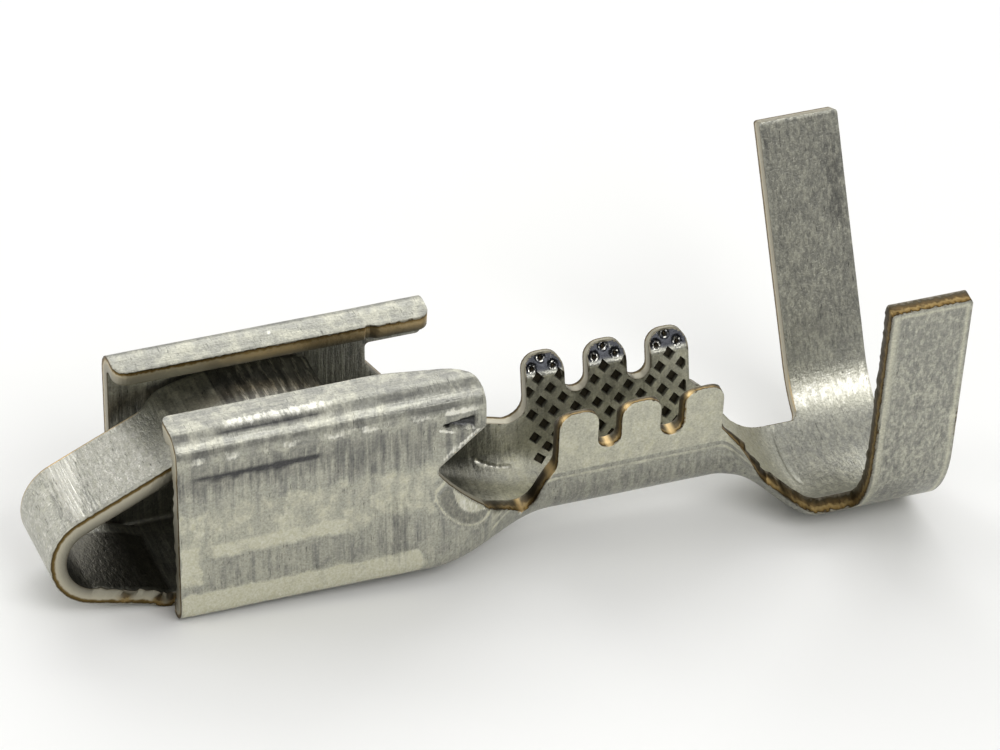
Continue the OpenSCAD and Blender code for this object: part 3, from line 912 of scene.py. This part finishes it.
def streaks_and_shade_at(u, v, w, edge):
    """Dark streaks under the near roof bend and on the wings, the roof's top and the tongue's end darker,
    and painted shade on the roof bend, in the dent and on the barrel's underside.
    """
    run = abs(v)
    if w > 0:
        return strongest(FAR_WING_DARK, u, run) if v > 0 and u > WING_FRONT else 0.0
    if u < RIBS_FROM and run < TONGUE_HALF:
        return 0.75
    if v < -2.2 and u > WING_FRONT:
        return 0.3
    # Painted shade on the barrel's underside, where little light comes up from the paper.
    if v < 0 and BARREL_START < u < STEP_X:
        return 0.25 * ease((BARREL_SHADE - run) / 0.5)
    if v > 0 or not NEAR_FRONT <= u <= ROOF_REAR:
        return 0.0
    under = 0.48 * band(run, 5.2, 6.08, 0.5)
    # Painted shade on the roof bend, in place of the front softbox's reflection.
    cloudy = patchy(u, v, 0.9, 3, 4, 0.6, 1.3)
    roof = (0.55 if u < 4.1 else 0.4) * cloudy * band(run, 6.22, 6.75, 0.25)
    top = 0.34 * ease((run - 6.7) / 0.2)
    seam = 1.1 * near(run, SEAM_LINE, 0.08) * band(u, 3.9, 6.6, 0.5)
    wall = strongest(NEAR_DARK, u, run)
    # The dent's inside is painted dark as painted shade.
    return max(1.6 * dark_line(u, v), wall, under, roof, top, seam, 1.5 * dented(u, v))


lay("wear_and_highlight", wear_and_highlight_at)
lay("streaks_and_shade", streaks_and_shade_at)


# %% Which way the sheet is streaked
def lengthwise_at(u, v, w, edge):
    """Where the press dragged along the strip and not across it: the roof, its bend, the dark line."""
    if w > 0 or u > ROOF_REAR or u < FAR_FRONT:
        return 0.0
    if v > 0:
        return ease((v - 6.3) / 0.2)
    return max(ease((-v - 5.95) / 0.15), dark_line(u, v))


def calm_at(u, v, w, edge):
    """Where the sheet is flecked and not streaked: spring, coined flat, barrel, web and wings."""
    if u > BOX_REAR:
        return 0.8 if u > BARREL_END else 0.4 * (w < 0)
    if v < 0 and w < 0 and u > COINED_FROM and coined(u, v) > -0.4:
        return 1.0
    if abs(v) > TONGUE_HALF or not -4.4 < u < NEAR_FRONT:
        return 0.0
    if w > 0:
        return 1.0
    return 0.8 - 0.8 * band(u, -2.3, -1.4, 0.4)


lay("lengthwise", lengthwise_at)
lay("calm", calm_at)

# %% Chalk and painted highlights, dirt and painted shade, ironed tips and bare brass
RIDGE_RUN = 1.8
NEAR_PALE = {
    "block": (1.05, (3.7, 7.1, 0.3), (3.4, 3.8, 0.12)),
    "front corner": (1.0, (2.9, 3.45, 0.12), (2.7, 3.8, 0.12)),
    "low band": (1.15, (2.9, 8.9, 0.4), (1.9, 2.5, 0.15)),
}
DIRTY_EDGES = ((10.95, 0.3), (12.1, 0.25), (18.3, 0.3))
GOLD_SPOTS = (1.75, 2.6, 3.0)
WEB_BRASS = 16.9
BARREL_BRASS = 10.62


def chalk_and_highlight_at(u, v, w, edge):
    """Chalky plate in and on the barrels, on the wings and coined rim and in patches on the near wall, and
    painted highlights on the far wing's bend and the coined facet.
    """
    run = abs(v)
    if w < 0 and u < NEAR_FRONT and run < TONGUE_HALF:
        return 0.3 * ease((-3.6 - u) / 1.0)
    if w > 0:
        # Painted highlight on the far wing's bend.
        if u > WING_FRONT and v > 0:
            return 0.6 * band(v, 1.9, 3.2, 1.0)
        chalk = blend(0.66, 1.0, ease((u - 16.5) / 1.0)) * band(u, 11.2, 18.9, 1.6)
        return chalk if tip_share(u, v) == 0 else 0.0
    if v > 0:
        return 0.0
    if u > WING_FRONT - 0.1:
        border = 0.9 * band(edge, 0.05, 0.2, 0.06) * band(u, 19.7, 22, 0.1)
        return border + 0.4 * near(run, WING_CREASE, 0.1)
    if u > BOX_REAR:
        return 0.9 * near(run, RIDGE_RUN, 0.08) if run < RIDGE_RUN + 0.15 else 0.8
    oval = coined(u, v)
    # Painted highlight on the coined facet, and the coined rim.
    if oval > -0.35:
        return 1.1 * max(ease(facet(u, v, edge) / 0.1), near(oval, -0.12, 0.12))
    return max(0.6 * band(run, 3.5, 4.85, 0.4), strongest(NEAR_PALE, u, run))


def edge_dirt_and_shade(u, v, w):
    """Dark on the cut edges: painted shade towards the inside of the loop, darker on the far wall's foot,
    dirt in spots and along the barrels.
    """
    # Painted shade on the loop's cut edges, most towards its inside.
    if u < NEAR_FRONT and abs(v) < FLOOR_HALF + SLIT / 2:
        return (0.2 if u > 0.9 else 0.6) * ease((w + 0.06) / 0.26) if v < 0 else 0.4
    if v > 0 and u < NEAR_FRONT:
        return 0.8 * ease((4.0 - v) / 0.5)
    if v >= 0:
        return 0.3 * band(u, 12.2, 17.2, 0.4)
    spots = max(near(u, spot, reach) for spot, reach in DIRTY_EDGES)
    return max(0.85 * spots, 0.4 * band(u, 17.6, 19.9, 0.4))


def dirt_and_shade_at(u, v, w, edge):
    """Painted shade inside the loop and the box and high on the far wing, darker inside the neck, dirt and
    painted shade in the knurl's pits and the tabs' dimples, and painted shade in the coined flat.
    """
    if edge < EDGE_ROUND:
        return edge_dirt_and_shade(u, v, w)
    if w < 0:
        # Painted shade in the coined flat beyond the facet.
        crescent = v < 0 and COINED_FROM < u < BOX_REAR and facet(u, v, edge) == 0
        return 0.3 * ease(coined(u, v) / 0.1) if crescent else 0.0
    # Painted shade inside the loop.
    if u < NEAR_FRONT and abs(v) < FLOOR_HALF + SLIT / 2:
        return 0.76 if v < SPRING_HALF else 0.2
    # Dirt and painted shade in the knurl's pits.
    if w < SHEET / 2 - 0.02 and knurl_low < u < knurl_high:
        return 0.95
    # Painted shade in the dimples on the tabs' tips.
    if tip_share(u, v) > 0:
        return 0.9 * ease((DIMPLE - dimple(u, v)) / 0.03)
    # Darker inside the neck; painted shade inside the box and high on the far wing.
    neck = 0.3 * band(u, 8.0, 11.4, 1.2)
    box = 0.1 * band(u, 2.0, 8.6, 0.6)
    wing = 0.16 * ease((v - 3.4) / 0.8) * ease((u - WING_FRONT) / 0.1)
    return max(neck, box, wing)


def polish_and_dark_reflection_at(u, v, w, edge):
    """The tips of the tabs, ironed smooth when they were coined thin and painted dark for the dark room
    they mirror.
    """
    return ease(tip_share(u, v) / 0.25) if w > 0 else 0.0


def brass_at(u, v, w, edge):
    """How much bare brass a cut edge shows: most on the near side of the barrels, web and wing."""
    if u > WEB_BRASS:
        return 1.0 if v < 0 else 0.3
    if u > BARREL_BRASS:
        return 0.9 if v < 0 else 0.15
    if u < NEAR_FRONT + RELIEF and abs(v) < FLOOR_HALF:
        return 0.15 + 0.85 * max(near(u, spot, 0.3) for spot in GOLD_SPOTS) if v < 0 else 0.3
    return blend(0.4, 0.7, ease((u - 4) / 3)) if v > 0 else 0.2


lay("chalk_and_highlight", chalk_and_highlight_at)
lay("dirt_and_shade", dirt_and_shade_at)
lay("polish_and_dark_reflection", polish_and_dark_reflection_at)
lay("brass", brass_at)

# %% [markdown]
# ## Folding
# Before folding, each point's place on the flat blank is kept as an attribute, because the finishes
# follow the sheet and not the space around it. Torn stretches of the rim get a ragged edge, the press
# marks are pushed in, the tips of the tabs are thinned and the facet is chamfered. Faces within the
# rounded rim are the cut edge and get the second material.

# %% Fold the blank
RIPPLE = 0.012
RIPPLE_LENGTH = 2.2
RIPPLE_SEED = 3.0
TEAR = 0.16
TEARS_PER_MM = 5
TEAR_ASIDE = Vector((9.3, -1.5, -8.0))
LOOP_TEAR = (0.9, 2.8, 0.3)
WEB_TEAR = (17.0, 19.8, 0.3)
WING_TEAR = (19.8, 19.95, 0.05)
SLIGHT = 0.3
TIP_THIN = 0.26
CHAMFER = 0.07
CUT_REACH = 1.05 * EDGE_ROUND
SHARP_ANGLE = math.radians(40)


def ripple(place):
    """A press never leaves sheet quite flat."""
    return RIPPLE * noise.noise(Vector((place.x, place.y, RIPPLE_SEED)) / RIPPLE_LENGTH)


def torn(u, v):
    """Where the punch tore the edge: under the loop, along the web, a little on the near wall and wing."""
    if v > 0:
        return 0.0
    if abs(v) > FLOOR_HALF and u < NEAR_FRONT + SLIT / 2:
        return SLIGHT
    return max(band(u, *LOOP_TEAR), band(u, *WEB_TEAR), SLIGHT * band(u, *WING_TEAR))


def ragged(place, edge):
    """How far a torn rim stands off the punched line, most on the inner half of the thickness."""
    if edge > EDGE_ROUND:
        return Vector()
    amount = TEAR * torn(place.x, place.y) * (0.5 + place.z / SHEET)
    grain = place * TEARS_PER_MM
    return amount * Vector((noise.noise(grain), noise.noise(grain + TEAR_ASIDE), 0.0))


for face in blank.faces:
    face.smooth = True
    face.material_index = int(all(edge_distances[vert.index] < CUT_REACH for vert in face.verts))
for vert, place, edge, depth in zip(blank.verts, flat_places, edge_distances, depths):
    moved = place + ragged(place, edge)
    moved.z += ripple(place) - math.copysign(depth, place.z)
    moved.z -= TIP_THIN * tip_share(place.x, place.y) * (0.5 + place.z / SHEET)
    moved.z += CHAMFER * facet(place.x, place.y, edge) * (0.5 - place.z / SHEET)
    vert.co = (fold(*moved) + ORIGIN) * MM
mesh = bpy.data.meshes.new("terminal_sheet")
blank.to_mesh(mesh)
blank.free()
mesh.set_sharp_from_angle(angle=SHARP_ANGLE)
flat_layer = mesh.attributes.new("flat_mm", "FLOAT_VECTOR", "POINT")
flat_layer.data.foreach_set("vector", [c for place in flat_places for c in place])
for name, values in masks.items():
    mesh.attributes.new(name, "FLOAT", "POINT").data.foreach_set("value", values)
sheet = bpy.data.objects.new("terminal_sheet", mesh)
bpy.context.scene.collection.objects.link(sheet)
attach(sheet, "root")
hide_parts("terminal")
print("folded sheet:", len(mesh.vertices), "points,", len(mesh.polygons), "faces")

# %% [markdown]
# ## Helpers for the finishes
# Colours are written as the sRGB hex values that a paint program shows, and one function turns them to
# the linear values that the shader works in. A second function adds a node, sets it and links it, and the
# few after it name the nodes that the finishes use most.

# %% Colour and node helpers
FACTOR, NUMBER_A, NUMBER_B, COLOUR_A, COLOUR_B = 0, 2, 3, 6, 7
NUMBER_OUT, COLOUR_OUT = 0, 2
WHOLE = (0.0, 1.0)


def linear(code):
    """An sRGB hex colour as linear red, green, blue and alpha."""
    parts = [int(code[i:i + 2], 16) / 255 for i in (1, 3, 5)]
    return [c / 12.92 if c <= 0.04045 else ((c + 0.055) / 1.055) ** 2.4 for c in parts] + [1.0]


def add(tree, kind, sockets=(), **settings):
    """Adds a node with its settings, and fills its sockets with values or links."""
    made = tree.nodes.new(kind)
    for name, value in settings.items():
        setattr(made, name, value)
    for name, value in dict(sockets).items():
        if isinstance(value, bpy.types.NodeSocket):
            tree.links.new(value, made.inputs[name])
        else:
            made.inputs[name].default_value = value
    return made


def mask_of(tree, name):
    return add(tree, "ShaderNodeAttribute", attribute_name=name).outputs["Fac"]


def spread(tree, value, before, after):
    """A value moved from one range to another, and kept within it."""
    return add(tree, "ShaderNodeMapRange", {
        "Value": value, "From Min": before[0], "From Max": before[1],
        "To Min": after[0], "To Max": after[1],
    }).outputs[0]


def raised(tree, value, times, base):
    """A base raised by a value times a number."""
    return add(tree, "ShaderNodeMath", {0: value, 1: times, 2: base}, operation="MULTIPLY_ADD").outputs[0]


def mixed(tree, factor, under, over):
    """One number faded into another."""
    sockets = {FACTOR: factor, NUMBER_A: under, NUMBER_B: over}
    return add(tree, "ShaderNodeMix", sockets, data_type="FLOAT").outputs[NUMBER_OUT]


def tinted(tree, factor, under, over, way="MIX"):
    """One colour laid over another."""
    sockets = {FACTOR: factor, COLOUR_A: under, COLOUR_B: over}
    return add(tree, "ShaderNodeMix", sockets, data_type="RGBA", blend_type=way).outputs[COLOUR_OUT]


def new_material(name):
    material = bpy.data.materials.new(name)
    material.use_nodes = True
    return material, material.node_tree, material.node_tree.nodes["Principled BSDF"]


print("one millimetre is", MM, "of a Blender unit")

# %% [markdown]
# ## Tin plate
# Bright tin that has been rolled, stamped and handled: a soft grey metal with a faint warm cast, satin
# rather than mirror. The press drags across the strip, so fine streaks run across it. On the roof they
# run along it, and calm skins show small flecks instead. Handling leaves chalky patches and short
# scratches, and the ironed tips of the tabs are smooth, painted dark for the dark room they mirror. The
# masks also lay painted highlights and painted shade into the colour. The material is metal all over,
# so only its colour, its roughness and a little bump change. Each pattern has a size in millimetres
# along and across the flat blank, a level of detail, and the two levels between which its contrast is
# spread.

# %% Patterns of the tin plate
THROUGH_SHEET = 8.0
PATTERNS = {
    "streak": (0.1, 1.3, 4.0, 0.32, 0.68),
    "drag": (1.2, 0.055, 4.0, 0.32, 0.68),
    "scratch": (0.04, 0.3, 3.0, 0.3, 0.7),
    "blotch": (0.35, 0.5, 6.0, 0.36, 0.64),
    "fleck": (0.09, 0.2, 4.0, 0.3, 0.7),
    "grain": (0.05, 0.05, 2.0, 0.2, 0.8),
}
tin, tree, shader = new_material("tin_plate")
flat = add(tree, "ShaderNodeAttribute", attribute_name="flat_mm").outputs["Vector"]
patterns = {}
for name, (along, across, detail, low, high) in PATTERNS.items():
    scale = (1 / along, 1 / across, THROUGH_SHEET)
    laid = add(tree, "ShaderNodeMapping", {"Vector": flat, "Scale": scale}).outputs[0]
    cloud = add(tree, "ShaderNodeTexNoise", {
        "Vector": laid, "Scale": 1.0, "Detail": detail, "Roughness": 0.6, "Distortion": 0.2,
    }).outputs["Fac"]
    patterns[name] = spread(tree, cloud, (low, high), WHOLE)
print("tin patterns:", ", ".join(patterns))

# %% Which pattern lies where
DRAG_BLOTCH = 0.6
STAND_INS = (
    ("lengthwise", "streak", "drag"), ("calm", "streak", "fleck"), ("lengthwise", "scratch", "fleck"),
    ("calm", "scratch", "fleck"), ("calm", "blotch", "fleck"),
)
masked = {
    name: mask_of(tree, name)
    for name in ("wear_and_highlight", "streaks_and_shade", "chalk_and_highlight", "dirt_and_shade", "polish_and_dark_reflection", "lengthwise", "calm")
}
nicks = spread(tree, patterns["scratch"], (0.84, 0.98), (0.0, 0.7))
patterns["drag"] = mixed(tree, DRAG_BLOTCH, patterns["drag"], patterns["blotch"])
for mask, pattern, other in STAND_INS:
    patterns[pattern] = mixed(tree, masked[mask], patterns[pattern], patterns[other])
mottle = spread(tree, patterns["blotch"], (0.5, 0.8), (0.0, 0.35))
print("stand-ins:", len(STAND_INS))

# %% Colour, roughness and bump of the tin plate
TIN_DARK = "#8b8b85"
TIN_LIGHT = "#b4b3a5"
MOTTLE_SHADE = "#c4c2b2"
NICK_SHADE = "#5b5b57"
# Colour of the ironed tips, painted dark for the dark room they mirror.
IRONED_DARK_REFLECTION = "#2e2f32"
# Colour for dirt and for painted shade.
DIRT_AND_SHADE_COLOUR = "#2c261a"
# Chalk with painted highlights, dark streaks with painted shade, and rubbed metal with painted highlights
# and glints.
BROKEN = {
    "chalk_and_highlight": ("blotch", -0.7, 0.6, 0.9, "#d6d4c0"),
    "streaks_and_shade": ("streak", -0.42, 0.9, 1.0, "#4f4f4f"),
    "wear_and_highlight": ("scratch", -0.7, 0.45, 0.9, "#e6e4d8"),
}
ROUGHNESS = (0.33, 0.45)
BUMP = (0.35, 0.05)
BUMP_HEIGHT = 0.00002
colour = tinted(tree, patterns["streak"], linear(TIN_DARK), linear(TIN_LIGHT))
amounts = [(mottle, MOTTLE_SHADE), (nicks, NICK_SHADE), (masked["polish_and_dark_reflection"], IRONED_DARK_REFLECTION)]
broken = {}
for name, (texture, eaten, soft, most, shade) in BROKEN.items():
    left = raised(tree, patterns[texture], eaten, masked[name])
    broken[name] = spread(tree, left, (-0.05, soft), (0.0, most))
    amounts.append((broken[name], shade))
# Dirt and painted shade are laid over last.
amounts.append((masked["dirt_and_shade"], DIRT_AND_SHADE_COLOUR))
for amount, shade in amounts:
    colour = tinted(tree, amount, colour, linear(shade))
speckle = tinted(tree, 0.3, colour, patterns["grain"], "OVERLAY")
gloss = spread(tree, patterns["streak"], WHOLE, ROUGHNESS)
for amount, change in ((broken["chalk_and_highlight"], 0.14), (broken["wear_and_highlight"], -0.1), (masked["polish_and_dark_reflection"], -0.22)):
    gloss = raised(tree, amount, change, gloss)
relief = raised(tree, patterns["grain"], 0.7, patterns["streak"])
ironed = spread(tree, masked["polish_and_dark_reflection"], WHOLE, BUMP)
bump = add(tree, "ShaderNodeBump", {"Strength": ironed, "Distance": BUMP_HEIGHT, "Height": relief})
tree.links.new(speckle, shader.inputs["Base Color"])
tree.links.new(gloss, shader.inputs["Roughness"])
tree.links.new(bump.outputs[0], shader.inputs["Normal"])
shader.inputs["Metallic"].default_value = 1.0
mesh.materials.append(tin)
print("tin plate:", len(tree.nodes), "nodes")

# %% [markdown]
# ## Cut edge
# Where the punch cut through, the edge shows what lies under the tin. On the side where the punch came
# in, tin was dragged over the edge. Then comes a dark line, a burnished line of brass, and a wide torn
# zone. Most of it has paled to cream, but on the tabs, the web and the near wing it is still golden. Two
# colour ramps through the thickness give the two states, and the brass mask picks between them.

# %% Cut brass edge
TEAR_SIZE = 0.12
TEAR_BUMP = 0.00003
GLINT_SHADE = "#f2d49a"
CREAM = (
    (0.0, "#b1b0a5"), (0.06, "#4d3f22"), (0.22, "#6f5d38"),
    (0.32, "#c3bfad"), (0.85, "#b4b0a0"), (1.0, "#8c8776"),
)
GOLD = (
    (0.0, "#a09c8c"), (0.08, "#3d2e17"), (0.2, "#8d7446"), (0.36, "#a08a5c"),
    (0.5, "#655336"), (0.8, "#47402f"), (1.0, "#7d776a"),
)
brass, tree, shader = new_material("cut_brass_edge")
flat = add(tree, "ShaderNodeAttribute", attribute_name="flat_mm").outputs["Vector"]
through = add(tree, "ShaderNodeSeparateXYZ", {0: flat}).outputs["Z"]
share = spread(tree, through, (-SHEET / 2, SHEET / 2), WHOLE)
tear = add(tree, "ShaderNodeTexNoise", {"Vector": flat, "Scale": 1 / TEAR_SIZE, "Detail": 3.0}).outputs[0]
uneven = add(tree, "ShaderNodeMath", {0: tear, 1: -0.5}, operation="ADD").outputs[0]
bare = mask_of(tree, "brass")
depth = raised(tree, uneven, raised(tree, bare, 0.55, 0.06), share)
states = []
for stops in (CREAM, GOLD):
    layers = add(tree, "ShaderNodeValToRGB", {0: depth})
    for index, (place, shade) in enumerate(stops):
        inner = 0 < index < len(stops) - 1
        ends = layers.color_ramp.elements
        stop = ends.new(place) if inner else ends[0 if index == 0 else -1]
        stop.color = linear(shade)
    states.append(layers.outputs["Color"])
colour = tinted(tree, bare, *states)
# Painted glints, and dirt with painted shade, laid over the cut edge.
for name, shade in (("wear_and_highlight", GLINT_SHADE), ("dirt_and_shade", DIRT_AND_SHADE_COLOUR)):
    colour = tinted(tree, mask_of(tree, name), colour, linear(shade))
bump = add(tree, "ShaderNodeBump", {"Strength": 0.5, "Distance": TEAR_BUMP, "Height": tear})
tree.links.new(colour, shader.inputs["Base Color"])
tree.links.new(bump.outputs[0], shader.inputs["Normal"])
shader.inputs["Metallic"].default_value = 1.0
shader.inputs["Roughness"].default_value = 0.5
mesh.materials.append(brass)
print("cut brass edge:", len(tree.nodes), "nodes")

# %% [markdown]
# ## Camera
# The view is a long lens from the front left, about a third of the way up. The camera was fitted to
# corners of the piece, so it is given as the pixel where one point of the piece lies and the scale there.

# %% Camera
YAW = math.radians(19.66)
ELEVATION = math.radians(33.42)
FOCAL_PX = 6381.75
PX_PER_MM = 41.74
AIM_PX = (476.14, 433.15)
IMAGE_PX = (1000, 750)
AIM_MM = Vector((11.0, 0.0, 2.3))

forward = Vector((
    math.sin(YAW) * math.cos(ELEVATION),
    math.cos(YAW) * math.cos(ELEVATION),
    -math.sin(ELEVATION),
))
right = Vector((math.cos(YAW), -math.sin(YAW), 0.0))
up = right.cross(forward)
eye = (
    AIM_MM
    - right * (AIM_PX[0] - IMAGE_PX[0] / 2) / PX_PER_MM
    + up * (AIM_PX[1] - IMAGE_PX[1] / 2) / PX_PER_MM
    - forward * FOCAL_PX / PX_PER_MM
)
camera_data = bpy.data.cameras.new("camera")
camera_data.sensor_width = 36
camera_data.lens = camera_data.sensor_width * FOCAL_PX / IMAGE_PX[0]
camera_data.clip_start = 0.001
camera_data.clip_end = 10
camera = bpy.data.objects.new("camera", camera_data)
camera.location = (eye + ORIGIN) * MM
camera.rotation_euler = forward.to_track_quat("-Z", "Y").to_euler()
bpy.context.scene.collection.objects.link(camera)
bpy.context.scene.camera = camera
print("camera", round(FOCAL_PX / PX_PER_MM), "mm from the piece")

# %% [markdown]
# ## Floor and light
# The piece lies on white paper, on the wide barrel's underside and the front of the box. Bare metal shows
# mostly what it reflects, so the light is arranged by reflections: the near wall mirrors the paper, the
# roof mirrors a panel behind, the wide barrel's bend mirrors a softbox beside the camera, and the room
# stays dark near the horizon.

# %% Floor
PAPER_HALF = 0.6
BARREL_FOOT = Vector((FLOOR_FRONT, 0.0, -WING_DROP)) + ORIGIN
BOX_FOOT = Vector((NEAR_FRONT, 0.0, 0.0)) + ORIGIN
lean = math.atan2(BOX_FOOT.z - BARREL_FOOT.z, BARREL_FOOT.x - BOX_FOOT.x)
floor_mesh = bpy.data.meshes.new("floor")
bm = bmesh.new()
bmesh.ops.create_grid(bm, x_segments=1, y_segments=1, size=PAPER_HALF)
bmesh.ops.rotate(bm, verts=bm.verts, matrix=Matrix.Rotation(lean, 3, "Y"))
bmesh.ops.translate(bm, verts=bm.verts, vec=BARREL_FOOT * MM)
bm.to_mesh(floor_mesh)
bm.free()
floor = bpy.data.objects.new("floor", floor_mesh)
bpy.context.scene.collection.objects.link(floor)
paper, tree, shader = new_material("white_paper")
shader.inputs["Base Color"].default_value = linear("#f6f6f4")
shader.inputs["Roughness"].default_value = 0.9
floor_mesh.materials.append(paper)
print("the floor leans", round(math.degrees(lean), 2), "degrees to meet both feet")

# %% Room and softboxes
LAMP_DISTANCE = 0.4
world = bpy.data.worlds.new("studio")
bpy.context.scene.world = world
world.use_nodes = True
tree = world.node_tree
way = add(tree, "ShaderNodeTexCoord").outputs["Generated"]
tall = add(tree, "ShaderNodeSeparateXYZ", {0: way}).outputs["Z"]
sky = spread(tree, tall, (0.1, 0.8), (0.16, 0.75))
tree.links.new(sky, tree.nodes["Background"].inputs["Strength"])
tree.nodes["Background"].inputs["Color"].default_value = linear("#ffffff")


def softbox(name, azimuth, elevation, width, height, power):
    """A rectangular lamp that looks at the piece. Azimuth 0 is the front, 90 degrees the wire's side."""
    data = bpy.data.lights.new(name, "AREA")
    data.shape = "RECTANGLE"
    data.size = width
    data.size_y = height
    data.energy = power
    lamp = bpy.data.objects.new(name, data)
    azimuth, elevation = math.radians(azimuth), math.radians(elevation)
    away = Vector((
        math.cos(elevation) * math.sin(azimuth),
        -math.cos(elevation) * math.cos(azimuth),
        math.sin(elevation),
    ))
    lamp.location = away * LAMP_DISTANCE
    lamp.rotation_euler = (-away).to_track_quat("-Z", "Y").to_euler()
    bpy.context.scene.collection.objects.link(lamp)
    print(name, "softbox:", power, "W")


softbox("front", 20, 42, width=0.24, height=0.16, power=0.5)
softbox("back", 160, 36, width=0.4, height=0.25, power=0.6)
softbox("left", -120, 25, width=0.22, height=0.2, power=0.5)
bpy.context.scene.view_settings.view_transform = "Standard"
